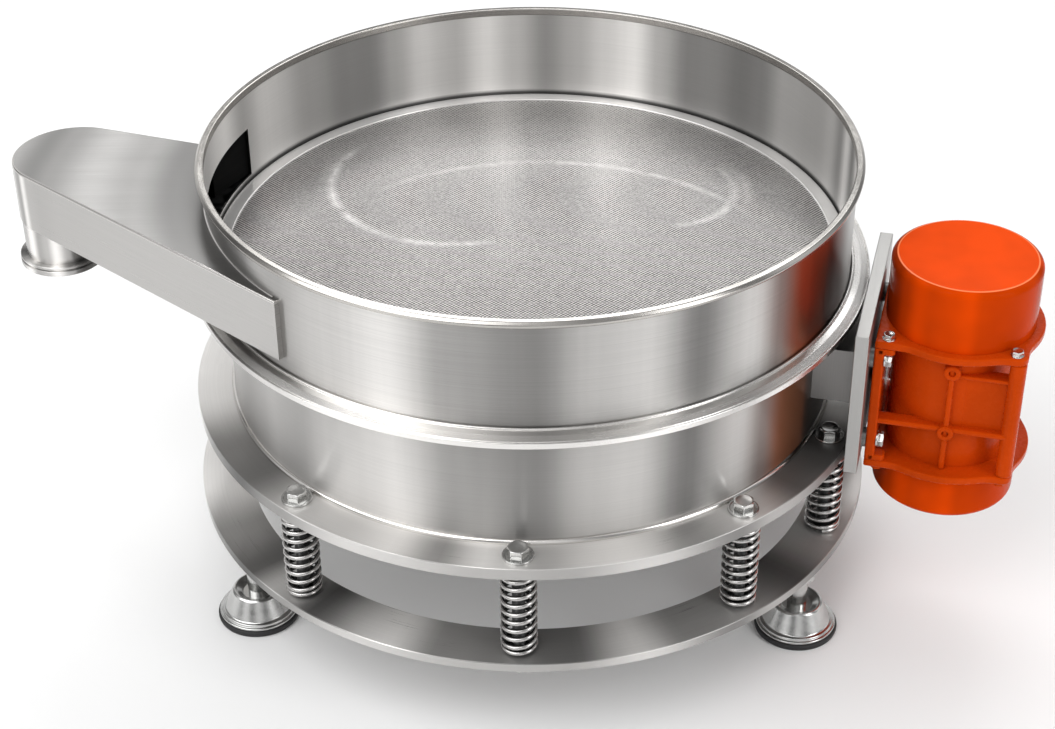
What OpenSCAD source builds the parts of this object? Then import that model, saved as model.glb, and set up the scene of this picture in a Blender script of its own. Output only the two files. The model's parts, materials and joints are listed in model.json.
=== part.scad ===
// Round vibrating sifter on springs, with a side spout and a vibrator motor.
// Z is up along the drum's axis. The origin is the centre of the product outlet's mouth.
// The motor stands on the +X side and the spout on the -X side.

/* [Drum] */
// Outside diameter of the upper drum
drum_d = 784; // [740:1:820]
// Thickness of the drum, spout and cone sheet
sheet = 2.5; // [1.5:0.1:3]
// Height from the upper drum's flange face to the top of the rim
upper_h = 145; // [140:1:200]
// How far the rolled rim stands out from the drum
rim_out = 8; // [4:0.5:12]
// Height of the rolled rim
rim_h = 8; // [6:0.5:14]
// How far the lower drum is set in from the upper drum
lower_step = 15; // [13:0.5:18]
// Height of the lower drum, from the deck plate to its flange face
lower_h = 160.5; // [150:0.5:220]
// How far the flanges stand out from the upper drum
flange_out = 9; // [7:0.5:11]
// Thickness of the drum and screen flanges
flange_t = 2.5; // [2:0.1:3]
// Radius of the weld bead at the lower drum's foot
bead_r = 3.5; // [2:0.1:5]

/* [Screen] */
// Width of the screen frame's flat top
frame_w = 18.5; // [17:0.5:24]
// Height of the screen frame above its flange's underside
frame_h = 22.5; // [16:0.5:24]
// Gap between the screen frame and the upper drum's wall
frame_gap = 1; // [0.5:0.1:2]
// Thickness of the woven mesh
mesh_t = 1; // [0.8:0.1:1.6]
// How deep the frame's groove grips the mesh
mesh_grip = 4; // [3:0.5:6]
// Thickness of the gasket on each face of the screen's flange
gasket_t = 1; // [0.5:0.1:2]

/* [Clamp band] */
// How far the clamp band stands out from the flanges
band_out = 15; // [12:0.5:17]
// Gap between the band's mouth and the upper drum
band_gap = 1.8; // [1:0.1:3]
// Sheet thickness of the clamp band
band_t = 2.2; // [1.5:0.1:2.5]
// Height of the band's outer face
band_face_h = 5; // [4:0.5:6]
// Height of the band across its open side
band_mouth_h = 19; // [18.5:0.5:22]
// Gap between the two ends of the band
band_split = 14; // [8:1:24]
// Where the band closes, measured round the drum from +X
band_split_angle = 100; // [60:5:120]
// Length of the band's two lugs
lug_len = 26; // [22:1:36]
// Thickness of the band's lugs
lug_t = 6; // [4:0.5:8]
// Thread diameter of the band's closing bolt
band_bolt_d = 8; // [6:1:10]

/* [Spout] */
// Distance from the drum's wall to the middle of the spout's round end
spout_out = 179; // [150:1:220]
// Direction in which the spout's channel runs out
spout_axis_angle = 149; // [147:0.5:150]
// Angle between the channel's middle and each side wall
spout_taper_angle = 11.25; // [10.5:0.25:12]
// How far outside the drum's wall the spout's front wall runs
spout_front_gap = 6; // [4:0.5:10]
// Radius of the spout's round end
spout_r = 75; // [70:1:80]
// Depth of the spout, cover included
spout_h = 76; // [50:1:80]
// How far the spout's cover lies below the rim
spout_drop = 46; // [30:1:60]
// How far before the drum's tangent point the front wall stops
spout_stop = 26; // [15:1:40]
// Gap between the drum and the knee in the spout's back wall
spout_knee = 18.9; // [12:0.1:30]
// Where the spout's back wall meets the drum, round the drum from +X
spout_cheek_angle = 155; // [154:0.5:156]
// Lip of the drum's window above the spout's inside
window_lip = 6; // [2:1:10]
// Distance from the spout's back wall to the drum's window
window_back = 10.3; // [8:0.1:20]
// Distance from the front wall's end to the drum's window
window_front = 40.4; // [20:0.1:60]
// Outside diameter of the spout's outlet tube
spout_tube_d = 88.9; // [76:0.1:92]
// Wall of both outlet tubes
tube_wall = 2; // [1.5:0.1:3]
// Length of the spout's outlet below the spout's floor, ferrule included
spout_tube_len = 66; // [50:1:90]
// How far the outlet sits outwards from the round end's middle
outlet_out = 21; // [0:1:22]
// How far the outlet sits towards the front of the spout
outlet_side = 20; // [0:1:21]
// How far both ferrules stand out from their tubes
ferrule_out = 8.5; // [6:0.5:12]
// Height of both ferrules
ferrule_h = 13; // [10:0.5:20]
// Groove between the ferrule's two rings
ferrule_groove = 2; // [1:0.5:4]

/* [Discharge] */
// How far the deck plate reaches in under the lower drum
deck_lip = 24.5; // [18:0.5:40]
// Gap between the cone and the edge of the deck plate's hole
cone_gap = 2.5; // [2:0.5:5]
// Gap between the cone's rim and the lower drum
cone_rim_gap = 1; // [0.5:0.1:2]
// Height of the cone, from its rim's underside to its neck
cone_h = 120; // [100:1:130]
// Height of the straight neck at the cone's foot
cone_neck = 6; // [3:1:12]
// Outside diameter of the central outlet tube
outlet_d = 152.4; // [130:0.1:170]

/* [Deck and base] */
// Distance from the circle of springs to the deck plate's edge
deck_edge = 24.5; // [22:0.5:34]
// Thickness of the deck plate
deck_t = 16; // [12:0.5:18]
// Distance from the circle of springs to the base ring's outer edge
base_edge = 30.5; // [24:0.5:40]
// Distance from the circle of springs to the base ring's inner edge
base_inset = 32; // [28:0.5:50]
// Thickness of the base ring
base_t = 12; // [10:0.5:20]
// Height from the floor to the underside of the base ring
foot_h = 118; // [112:1:140]
// Height of the product outlet's mouth above the floor
outlet_clear = 45; // [35:1:60]

/* [Springs] */
// Gap between the lower drum's weld bead and the springs' washers
spring_gap = 1; // [0.5:0.1:2]
// Spring positions each side of the motor, in degrees from it
spring_angles = [11, 37.8, 77.7, 118.7];
// Fitted length of the springs
spring_len = 119; // [112:1:140]
// Outside diameter of the springs
spring_d = 44; // [42:0.5:48]
// Wire diameter of the springs
wire_d = 5; // [4:0.25:5.5]
// Number of turns in a spring
spring_turns = 9.5; // [8:0.5:11]
// Thread diameter of the spring bolts
bolt_d = 16; // [12:1:16]
// Size across flats of the spring bolts' heads
bolt_af = 24; // [20:1:26]
// Height of the spring bolts' heads
bolt_head_h = 12; // [8:0.5:15]
// Outside diameter of the washers under the bolt heads
washer_d = 37; // [30:1:38]
// Thickness of the washers
washer_t = 3; // [2:0.5:4]
// Height of the nuts under the deck plate
nut_h = 13; // [8:0.5:15]
// Height of the collars that centre the springs on the base ring
collar_h = 9; // [5:0.5:14]
// Space round the spring bolts inside the collars
bolt_play = 2.5; // [2:0.25:3]
// Free travel before the stop washers meet the base ring
stop_gap = 6; // [5.5:0.5:10]
// Height of the stop nuts
stop_nut_h = 8; // [6:0.5:13]

/* [Feet] */
// How far inside the circle of springs the feet stand
foot_inset = 6; // [0:0.5:8]
// Where the first foot stands, round the drum from +X
foot_angle = -33.6; // [-36:0.1:-31]
// Diameter of the feet's threaded stems
stem_d = 24; // [20:1:26]
// Diameter of the feet's rubber soles
sole_d = 104; // [90:1:120]
// Thickness of the rubber soles
sole_t = 8; // [6:0.5:12]
// Height of the steel pads
pad_h = 34; // [26:1:38]
// Diameter of the flat top of the steel pads
pad_top_d = 60; // [52:1:70]
// Depth of the dish in the pads' top
pad_dish = 7; // [4:0.5:12]
// Length of the threaded sockets under the base ring
socket_h = 28; // [24:1:34]
// Outside diameter of the sockets
socket_d = 36; // [34:1:42]
// Free room in the sockets above the stems
stem_room = 11; // [11:1:16]
// Height of the lock nuts
lock_nut_h = 10; // [8:1:12]
// Size across flats of the lock nuts
lock_nut_af = 36; // [34:1:41]

/* [Motor mounting] */
// Direction of the motor round the drum from +X
motor_angle = -15.5; // [-17:0.5:-15]
// Gap between the clamp band and the motor plate
plate_gap = 0.5; // [0.3:0.1:2]
// Width of the motor plate
mount_w = 246; // [230:1:270]
// Thickness of the motor plate
mount_t = 16; // [12:0.5:20]
// Height of the motor plate above the deck plate's top
mount_up = 176; // [170:1:190]
// How far the motor plate reaches below the deck plate's top
mount_down = 17; // [0:1:30]
// Width of the box bracket between the lower drum and the motor plate
bracket_w = 170; // [140:1:190]
// Height of the box bracket
bracket_h = 72; // [50:1:80]
// Height of the box bracket's underside above the deck plate
bracket_up = 58; // [40:1:70]
// Plate thickness of the box bracket
bracket_t = 8; // [5:0.5:12]
// Thickness of the spacers behind the motor's foot
spacer_t = 4.5; // [2:0.5:8]
// Thread diameter of the motor's mounting bolts
mount_bolt_d = 10; // [8:1:12]
// Distance from the mounting bolts to the foot's sides
mount_bolt_in = 9; // [8.5:0.5:12]
// Distance from the upper mounting bolts to the foot's upper end
mount_bolt_top = 10; // [10:0.5:20]
// Distance from the lower mounting bolts to the foot's lower end
mount_bolt_low = 19; // [10:0.5:28]

/* [Motor] */
// Height of the motor's middle above the deck plate
motor_up = 58; // [54:1:64]
// Height of the motor's body with both end shields
body_h = 180; // [172:1:196]
// Outside diameter of the upper cap
upper_cap_d = 177; // [174:1:178]
// How far the motor's foot stands out past the upper cap
foot_past_cap = 3.5; // [3:0.5:8]
// How far the upper cap stands out past the housing's sides
cap_over = 4.5; // [2:0.5:5]
// How far the barrel is set in from the housing's sides
barrel_in = 9; // [8:0.5:10]
// Wall of the motor's barrel
barrel_wall = 5; // [4:0.5:6]
// Thickness of the motor's foot
foot_plate_t = 12; // [8:0.5:12]
// Thickness of the end shields
shield_t = 10; // [8:0.5:12]
// How far the round part of the end shields stands out past the upper cap
shield_out = 10.5; // [8:0.5:13]
// Height of the upper cap
upper_cap_h = 82; // [70:1:100]
// How far the lower cap is set in from the upper cap
cap_step = 2.5; // [0.5:0.5:5]
// Height of the lower cap
lower_cap_h = 60; // [58:1:80]
// Wall of both caps
cap_wall = 3; // [2:0.25:4]
// Rounding of the caps' closed ends
cap_round = 8; // [5:0.5:12]
// Size of the housing's two outer posts
post_t = 20; // [14:1:24]
// Thickness of the housing's ribs
rib_t = 7; // [5:0.5:9]
// Radius of the bosses on the housing
boss_r = 10; // [8:0.5:12]
// Height of the upper boss above the motor's middle
boss_up = 60; // [50:1:62]
// Depth of the lower boss below the motor's middle
boss_down = 26; // [15:1:30]
// Thread diameter of the end shield bolts
shield_bolt_d = 8; // [6:1:8]
// Width of the terminal box
box_w = 76; // [60:1:84]
// Height of the terminal box
box_h = 84; // [70:1:90]
// How far the terminal box stands out past the housing's side
box_over = 10; // [8:1:20]
// Thickness of the terminal cover
cover_t = 5; // [4:0.5:8]
// Outside diameter of the cable gland's thread
gland_d = 16; // [12:1:18]
// Diameter of the hole for the cable
cable_d = 8; // [5:0.5:9]

/* [Motor inside] */
// Diameter of the motor's shaft
shaft_d = 30; // [24:1:34]
// Outside diameter of the bearings
bearing_d = 72; // [62:1:76]
// Width of the bearings
bearing_w = 19; // [15:0.5:21]
// Inside diameter of the stator
stator_bore_d = 90; // [80:1:96]
// Length of the stator and the rotor
stator_len = 84; // [60:1:92]
// Gap between the rotor and the stator
air_gap = 0.6; // [0.4:0.1:1]
// Radius of the eccentric weights
weight_r = 70; // [60:1:76]
// Thickness of each eccentric weight
weight_t = 20; // [16:0.5:21.5]
// Radius of the weights' hubs
weight_hub_r = 24; // [21:0.5:30]

/* [Fits] */
// Clearance round a bolt or tube that is fixed in its hole
hole_gap = 0.25; // [0.15:0.05:0.3]
// Running clearance round the shaft and the stems
run_gap = 0.05; // [0.02:0.01:0.08]
// Space between two pieces that only lie close
part_gap = 0.3; // [0.2:0.05:0.5]

/* [Hidden] */
$fn = 96;

// Levels up the machine
z_floor = -outlet_clear;
z_base = z_floor + foot_h;
z_base_top = z_base + base_t;
z_deck_low = z_base_top + spring_len;
z_deck = z_deck_low + deck_t;
z_lower_flange = z_deck + lower_h;
z_screen = z_lower_flange + gasket_t;
z_upper_flange = z_screen + flange_t + gasket_t;
z_rim = z_upper_flange + upper_h;
z_band = (z_lower_flange + z_upper_flange) / 2;
z_spout_top = z_rim - spout_drop;
z_spout = z_spout_top - spout_h;
z_motor = z_deck + motor_up;

// Radii of the drums
drum_r = drum_d / 2;
drum_in = drum_r - sheet;
lower_r = drum_r - lower_step;
lower_in = lower_r - sheet;
flange_r = drum_r + flange_out;
band_r = flange_r + band_out;
frame_out = drum_in - frame_gap;
screen_r = frame_out - frame_w;
mesh_r = screen_r + mesh_grip;

// Widths of the motor, all from its upper cap
foot_to_axis = upper_cap_d / 2 + foot_past_cap;
body_w = upper_cap_d - 2 * cap_over;
lower_cap_d = upper_cap_d - 2 * cap_step;
shield_d = upper_cap_d + 2 * shield_out;
barrel_d = body_w - 2 * barrel_in;
box_out = body_w / 2 + box_over;

// Radii of the deck plate, the base ring and what stands on them
spring_r = lower_r + bead_r + spring_gap + washer_d / 2;
foot_r = spring_r - foot_inset;
deck_r = spring_r + deck_edge;
deck_hole_r = lower_in - deck_lip;
base_r = spring_r + base_edge;
base_hole_r = spring_r - base_inset;
mount_r = band_r + plate_gap;
motor_r = mount_r + mount_t + spacer_t + foot_to_axis;

// Spring and foot directions, springs in mirrored pairs with one opposite the motor
spring_dirs = [
    for (a = spring_angles) motor_angle + a,
    for (a = spring_angles) motor_angle - a,
    motor_angle + 180
];
foot_dirs = [for (i = [0:2]) foot_angle + 120 * i];

// Plan of the spout: direction, side and line helpers
function dir(a) = [cos(a), sin(a)];
function cross_of(p, q) = p[0] * q[1] - p[1] * q[0];
function meet(p, d, q, e) = p + d * cross_of(q - p, e) / cross_of(d, e);
spout_reach = drum_r + spout_out;
front_angle = spout_axis_angle - spout_taper_angle;
back_angle = spout_axis_angle + spout_taper_angle;
front_dir = -dir(front_angle);
front_out = dir(front_angle + 90);
back_dir = -dir(back_angle);
back_out = dir(back_angle - 90);
end_angle = front_angle + 90 - acos((drum_r + spout_front_gap - spout_r) / spout_reach);
spout_end = spout_reach * dir(end_angle);
outlet_xy = spout_end + outlet_out * dir(spout_axis_angle) + outlet_side * dir(spout_axis_angle + 90);
front_foot = spout_end + spout_r * front_out;
front_len = -(front_foot * front_dir) - spout_stop;
back_foot = spout_end + spout_r * back_out;
back_ahead = -(back_foot * back_dir);
knee_r = drum_r + spout_knee;
knee_len = back_ahead - sqrt(pow(back_ahead, 2) - back_foot * back_foot + pow(knee_r, 2));
back_knee = back_foot + knee_len * back_dir;
cheek_foot = (drum_r + sheet) * dir(spout_cheek_angle);
window_start = spout_cheek_angle + asin(window_back / drum_r);
window_end = front_angle + 90 - asin((spout_stop + window_front) / drum_r);
cheek_dir = (cheek_foot - back_knee) / norm(cheek_foot - back_knee);
cheek_out = [cheek_dir[1], -cheek_dir[0]] * sign(cross_of(cheek_dir, [0, 0] - back_knee));
inside_r = drum_r * 0.9;

// Plan outline of the spout, drawn in by the amount t from its outer face
function spout_plan(t) = let (
    f = front_foot - t * front_out,
    b = back_foot - t * back_out,
    stop = front_foot + (front_len - t) * front_dir,
    c = cheek_foot - t * cheek_out,
    knee = meet(b, back_dir, c, cheek_dir)
) [
    f,
    meet(f, front_dir, stop, front_out),
    meet(f, front_dir, stop, front_out) - front_out * (drum_r - inside_r),
    inside_r * dir(window_start + 20),
    inside_r * dir(window_start),
    c + cheek_dir * (drum_r - inside_r) * 0.15,
    knee,
    b
];

// Motor levels and widths
motor_in = -foot_to_axis;
motor_outer = body_w / 2;
z_body = z_motor - body_h / 2;
z_body_top = z_motor + body_h / 2;
barrel_r = barrel_d / 2;
shield_hole_x = [motor_in + foot_plate_t + 3, motor_outer - post_t / 2 - 4];
shield_hole_y = motor_outer - 10;
spigot_h = 12;
screw_r = 2;
foot_end_h = 8;
foot_end_in = body_h / 2 - shield_t - foot_end_h;
mount_bolt_y = body_w / 2 - mount_bolt_in;
mount_bolt_z = [mount_bolt_low - foot_end_in, foot_end_in - mount_bolt_top];
gland_y = box_out - cover_t - gland_d * 0.6;
z_weight_up = z_body_top + 4;
z_weight_down = z_body - 4;
weight_gap = 2;
shaft_over = 5;

module ring(r_in, r_out, h) {
    difference() {
        cylinder(r = r_out, h = h);
        translate([0, 0, -1]) cylinder(r = r_in, h = h + 2);
    }
}

module section(low_r, low_z, high_r, high_z) {
    translate([low_r, low_z]) square([high_r - low_r, high_z - low_z]);
}

module hexagon(af, h) {
    cylinder(d = af / cos(30), h = h, $fn = 6);
}

module at_springs(z) {
    for (a = spring_dirs) rotate([0, 0, a]) translate([spring_r, 0, z]) children();
}

module at_foot(i, z) {
    rotate([0, 0, foot_dirs[i]]) translate([foot_r, 0, z]) children();
}

// Frame at the motor's axis, with X pointing away from the drum
module at_motor(z) {
    rotate([0, 0, motor_angle]) translate([motor_r, 0, z]) children();
}

module rim_ring() {
    color("gainsboro") rotate_extrude() {
        section(drum_in, z_rim - rim_h, drum_r + rim_out - rim_h / 2, z_rim);
        translate([drum_r + rim_out - rim_h / 2, z_rim - rim_h / 2]) circle(r = rim_h / 2);
    }
}

module upper_drum() {
    z_low = z_upper_flange;
    z_sill = z_spout + sheet;
    z_head = z_spout_top - sheet - window_lip;
    color("silver") difference() {
        rotate_extrude() {
            section(drum_in, z_low, drum_r, z_rim - rim_h);
            section(drum_in, z_low, flange_r, z_low + flange_t);
        }
        rotate([0, 0, window_start]) rotate_extrude(angle = window_end - window_start)
            section(drum_in - 5, z_sill, drum_r + 5, z_head);
    }
}

module spout_solid(t, z, h) {
    translate([0, 0, z]) linear_extrude(h) polygon(spout_plan(t));
    translate([spout_end[0], spout_end[1], z]) cylinder(r = spout_r - t, h = h);
}

module spout_trough() {
    wall_h = spout_h - sheet;
    color("silver") difference() {
        spout_solid(0, z_spout, wall_h);
        spout_solid(sheet, z_spout + sheet, wall_h);
        cylinder(r = drum_r, h = z_rim);
        translate([outlet_xy[0], outlet_xy[1], z_spout - 1])
            cylinder(r = spout_tube_d / 2 - tube_wall, h = sheet + 2);
    }
}

module spout_cover() {
    color("gainsboro") difference() {
        spout_solid(0, z_spout_top - sheet, sheet);
        cylinder(r = drum_r, h = z_rim);
    }
}

module spout_tube() {
    color("silver") translate([outlet_xy[0], outlet_xy[1], z_spout - spout_tube_len + ferrule_h])
        ring(spout_tube_d / 2 - tube_wall, spout_tube_d / 2, spout_tube_len - ferrule_h);
}

// Ferrule with two rings and a groove between them
module ferrule(tube_d) {
    r = tube_d / 2;
    difference() {
        cylinder(r = r + ferrule_out, h = ferrule_h);
        translate([0, 0, -1]) cylinder(r = r - tube_wall, h = ferrule_h + 2);
        translate([0, 0, ferrule_h * 0.55])
            ring(r + ferrule_out - 3, r + ferrule_out + 1, ferrule_groove);
    }
}

module spout_ferrule() {
    color("gainsboro") translate([outlet_xy[0], outlet_xy[1], z_spout - spout_tube_len])
        ferrule(spout_tube_d);
}

module screen_frame() {
    r = screen_r;
    z_top = z_screen + frame_h;
    z_mesh = z_top - flange_t - mesh_t;
    color("silver") rotate_extrude() {
        section(r, z_top - flange_t, frame_out, z_top);
        section(frame_out - flange_t, z_screen, frame_out, z_top);
        section(frame_out - flange_t, z_screen, flange_r, z_screen + flange_t);
        section(mesh_r, z_screen + flange_t, mesh_r + flange_t, z_top);
        section(r, z_mesh - flange_t, mesh_r + flange_t, z_mesh);
    }
}

module screen_mesh() {
    color("darkgray") translate([0, 0, z_screen + frame_h - flange_t - mesh_t])
        cylinder(r = mesh_r - part_gap, h = mesh_t);
}

// Gasket that wraps the outer edge of the screen's flange
module screen_gasket() {
    r_out = flange_r + part_gap + gasket_t;
    color("whitesmoke") rotate_extrude() {
        section(drum_r + part_gap, z_lower_flange, r_out, z_screen);
        section(flange_r + part_gap, z_lower_flange, r_out, z_upper_flange);
        section(drum_r + part_gap, z_screen + flange_t, r_out, z_upper_flange);
    }
}

// Place of the two lugs on the split clamp band
module at_lugs() {
    rotate([0, 0, band_split_angle]) translate([band_r - band_t, 0, z_band]) children();
}

module clamp_band() {
    r_out = band_r;
    r_in = drum_r + band_gap;
    face = band_face_h / 2;
    mouth = band_mouth_h / 2;
    slope = (mouth - face) / (r_out - r_in);
    limb = band_t * sqrt(1 + slope * slope);
    inner = face + slope * band_t - limb;
    profile = [
        [r_in, mouth], [r_out, face], [r_out, -face], [r_in, -mouth], [r_in, limb - mouth],
        [r_out - band_t, -inner], [r_out - band_t, inner], [r_in, mouth - limb]
    ];
    color("gainsboro") difference() {
        union() {
            translate([0, 0, z_band]) rotate_extrude() polygon(profile);
            at_lugs() for (s = [-1, 1]) translate([0, s * (band_split + lug_t) / 2, 0])
                translate([0, -lug_t / 2, -band_mouth_h / 2]) cube([lug_len, lug_t, band_mouth_h]);
        }
        at_lugs() translate([-lug_len, -band_split / 2, -band_mouth_h])
            cube([lug_len * 3, band_split, band_mouth_h * 2]);
        at_lugs() translate([lug_len * 0.62, 0, 0]) rotate([90, 0, 0])
            cylinder(r = band_bolt_d / 2 + hole_gap, h = lug_len * 4, center = true);
    }
}

module clamp_bolt() {
    head = band_bolt_d * 0.65;
    half = band_split / 2 + lug_t;
    color("lightgray") at_lugs() translate([lug_len * 0.62, half, 0]) rotate([-90, 0, 0]) {
        hexagon(band_bolt_d * 1.6, head);
        translate([0, 0, -2 * half - band_bolt_d]) cylinder(d = band_bolt_d, h = 2 * half + band_bolt_d);
    }
}

module clamp_nut() {
    color("lightgray") at_lugs() translate([lug_len * 0.62, -band_split / 2 - lug_t, 0]) rotate([90, 0, 0])
        difference() {
            hexagon(band_bolt_d * 1.6, band_bolt_d * 0.8);
            translate([0, 0, -1]) cylinder(r = band_bolt_d / 2 + run_gap, h = band_bolt_d + 2);
        }
}

module lower_drum() {
    color("silver") rotate_extrude() {
        section(lower_in, z_deck, lower_r, z_lower_flange);
        section(lower_in, z_lower_flange - flange_t, flange_r, z_lower_flange);
        intersection() {
            translate([lower_r, z_deck]) circle(r = bead_r);
            section(lower_r - 1, z_deck, lower_r + bead_r, z_deck + bead_r);
        }
    }
}

module discharge_cone() {
    r_top = deck_hole_r - cone_gap;
    r_rim = lower_in - cone_rim_gap;
    r_low = outlet_d / 2;
    z_neck = z_deck - cone_h;
    wall = sheet * 1.1;
    profile = [
        [r_rim, z_deck], [r_rim, z_deck + sheet], [r_top - sheet, z_deck + sheet],
        [r_low - tube_wall, z_neck + wall], [r_low - tube_wall, z_neck - cone_neck],
        [r_low, z_neck - cone_neck], [r_low, z_neck], [r_top, z_deck]
    ];
    color("silver") rotate_extrude() polygon(profile);
}

module outlet_tube() {
    z_top = z_deck - cone_h - cone_neck;
    color("silver") translate([0, 0, ferrule_h])
        ring(outlet_d / 2 - tube_wall, outlet_d / 2, z_top - ferrule_h);
}

module outlet_ferrule() {
    color("gainsboro") ferrule(outlet_d);
}

module deck_plate() {
    color("lightgray") difference() {
        translate([0, 0, z_deck_low]) ring(deck_hole_r, deck_r, deck_t);
        rotate([0, 0, motor_angle]) translate([mount_r, -deck_r, z_deck_low - 1])
            cube([deck_r, 2 * deck_r, deck_t + 2]);
        at_springs(z_deck_low - 1) cylinder(r = bolt_d / 2 + hole_gap, h = deck_t + 2);
    }
}

module motor_bracket() {
    z_low = z_deck + bracket_up;
    cell_w = (bracket_w - 3 * bracket_t) / 2;
    color("darkgray") rotate([0, 0, motor_angle]) difference() {
        translate([0, -bracket_w / 2, z_low]) cube([mount_r, bracket_w, bracket_h]);
        for (s = [-1, 1]) translate([0, s * (cell_w + bracket_t) / 2 - cell_w / 2, z_low + bracket_t])
            cube([mount_r + 1, cell_w, bracket_h - 2 * bracket_t]);
        translate([0, 0, z_low - 1]) cylinder(r = lower_r, h = bracket_h + 2);
    }
}

// The four mounting bolt places, on the plane x from the motor's axis
module at_mount_bolts(x) {
    for (y = [-mount_bolt_y, mount_bolt_y]) for (z = mount_bolt_z)
        at_motor(z_motor) translate([x, y, z]) rotate([0, 90, 0]) children();
}

module motor_plate() {
    z_low = z_deck - mount_down;
    color("lightgray") difference() {
        rotate([0, 0, motor_angle]) translate([mount_r, -mount_w / 2, z_low])
            cube([mount_t, mount_w, mount_up + mount_down]);
        at_mount_bolts(mount_r - motor_r - 1) cylinder(r = mount_bolt_d / 2 + run_gap, h = mount_t + 2);
    }
}

module motor_spacers() {
    color("darkgray") at_mount_bolts(motor_in - spacer_t)
        ring(mount_bolt_d / 2 + hole_gap, mount_bolt_d * 1.2, spacer_t);
}

module motor_bolts() {
    over = foot_plate_t + washer_t;
    deep = mount_t - 2 + spacer_t + over;
    color("gainsboro") at_mount_bolts(motor_in + over) {
        hexagon(mount_bolt_d * 1.6, mount_bolt_d * 0.7);
        translate([0, 0, -deep]) cylinder(d = mount_bolt_d, h = deep);
    }
}

module motor_washers() {
    color("gainsboro") at_mount_bolts(motor_in + foot_plate_t)
        ring(mount_bolt_d / 2 + hole_gap, mount_bolt_d, washer_t);
}

// Plan of an end shield: a round plate cut flat at the motor's foot, with a square foot side
module shield_plan(h) {
    intersection() {
        cylinder(d = shield_d, h = h);
        translate([motor_in, -shield_d, 0]) cube([2 * shield_d, 2 * shield_d, h]);
    }
    translate([motor_in, -motor_outer, 0]) cube([motor_outer - motor_in - 12, body_w, h]);
    for (s = [-1, 1]) translate([motor_outer - 12, s * (motor_outer - 12), 0]) cylinder(r = 12, h = h);
    translate([0, 12 - motor_outer, 0]) cube([motor_outer, body_w - 24, h]);
}

module at_shield_bolts(z) {
    for (x = shield_hole_x) for (y = [-shield_hole_y, shield_hole_y])
        at_motor(z) translate([x, y, 0]) children();
}

module motor_housing() {
    z_low = z_body + shield_t;
    h = body_h - 2 * shield_t;
    mid = z_motor - z_low;
    color("orangered") difference() {
        at_motor(z_low) difference() {
            union() {
                cylinder(r = barrel_r, h = h);
                translate([motor_in, -motor_outer, 0]) cube([foot_plate_t, body_w, h]);
                for (s = [-1, 1]) {
                    for (z = [0, h - foot_end_h]) translate([motor_in, s * (motor_outer - 8) - 8, z])
                        cube([foot_plate_t + 12, 16, foot_end_h]);
                    translate([motor_outer - post_t, s * (motor_outer - 12) - 12, 0])
                        cube([post_t, 24, h]);
                    translate([motor_in, s * (motor_outer - 10) - (s > 0 ? 20 : 0), mid - boss_down])
                        cube([motor_outer - motor_in - 1, 20, rib_t]);
                    for (z = [boss_up, -boss_down]) translate([0, 0, mid + z]) rotate([90 * s, 0, 0])
                        cylinder(r = boss_r, h = motor_outer + 2);
                    translate([-rib_t / 2, s * (motor_outer - 8) - 8, 0]) cube([rib_t, 16, h]);
                }
                translate([-box_w / 2, 0, mid - box_h / 2]) cube([box_w, box_out - cover_t, box_h]);
            }
            translate([0, 0, -1]) cylinder(r = barrel_r - barrel_wall, h = h + 2);
            difference() {
                translate([-box_w / 2 + 6, 0, mid - box_h / 2 + 6])
                    cube([box_w - 12, box_out, box_h - 12]);
                cylinder(r = barrel_r, h = h);
            }
            translate([0, 0, mid]) rotate([-90, 0, 0]) cylinder(r = cable_d, h = barrel_r + 1);
            translate([-box_w / 2 - 1, gland_y, mid]) rotate([0, 90, 0])
                cylinder(r = gland_d / 2 + run_gap, h = 12);
            for (z = [boss_up, -boss_down]) translate([0, -motor_outer - 3, mid + z]) rotate([-90, 0, 0])
                cylinder(r = boss_r * 0.4, h = 12);
        }
        at_mount_bolts(motor_in - 1) cylinder(r = mount_bolt_d / 2 + hole_gap, h = foot_plate_t + 2);
        at_shield_bolts(z_low - 1) cylinder(r = shield_bolt_d / 2 + run_gap, h = foot_end_h + 1);
        at_shield_bolts(z_low + h - foot_end_h)
            cylinder(r = shield_bolt_d / 2 + run_gap, h = foot_end_h + 1);
        at_terminal_screws() cylinder(r = screw_r + run_gap, h = 24, center = true);
    }
}

// End shield with its bearing seat and the spigot that carries the cap, cap side up
module end_shield(cap_d) {
    seat_h = bearing_w + 2;
    difference() {
        union() {
            shield_plan(shield_t);
            cylinder(r = cap_d / 2 - cap_wall - part_gap, h = shield_t + spigot_h);
            translate([0, 0, shield_t - seat_h])
                cylinder(r = barrel_r - barrel_wall - hole_gap, h = seat_h);
        }
        translate([0, 0, -seat_h]) cylinder(r = bearing_d / 2 + run_gap, h = seat_h + shield_t - 2);
        translate([0, 0, -seat_h]) cylinder(r = shaft_d / 2 + 6, h = 3 * seat_h);
        translate([0, 0, shield_t]) cylinder(r = cap_d / 2 - cap_wall - 8, h = spigot_h + 1);
        translate([0, 0, shield_t + spigot_h - 4]) ring(cap_d / 2 - cap_wall - 2.5, cap_d / 2, 2.5);
        for (x = shield_hole_x) for (y = [-shield_hole_y, shield_hole_y])
            translate([x, y, -1]) cylinder(r = shield_bolt_d / 2 + hole_gap, h = shield_t + 2);
    }
}

module upper_end_shield() {
    color("orangered") difference() {
        at_motor(z_body_top - shield_t) end_shield(upper_cap_d);
        at_cap_screws() cylinder(r = screw_r + run_gap, h = 20, center = true);
    }
}

module lower_end_shield() {
    color("orangered") difference() {
        at_motor(z_body + shield_t) mirror([0, 0, 1]) end_shield(lower_cap_d);
        at_cap_screws() cylinder(r = screw_r + run_gap, h = 20, center = true);
    }
}

// Places just outside the two end shields, Z pointing outwards
module at_shields() {
    at_shield_bolts(z_body_top) children();
    at_shield_bolts(z_body) mirror([0, 0, 1]) children();
}

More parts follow.
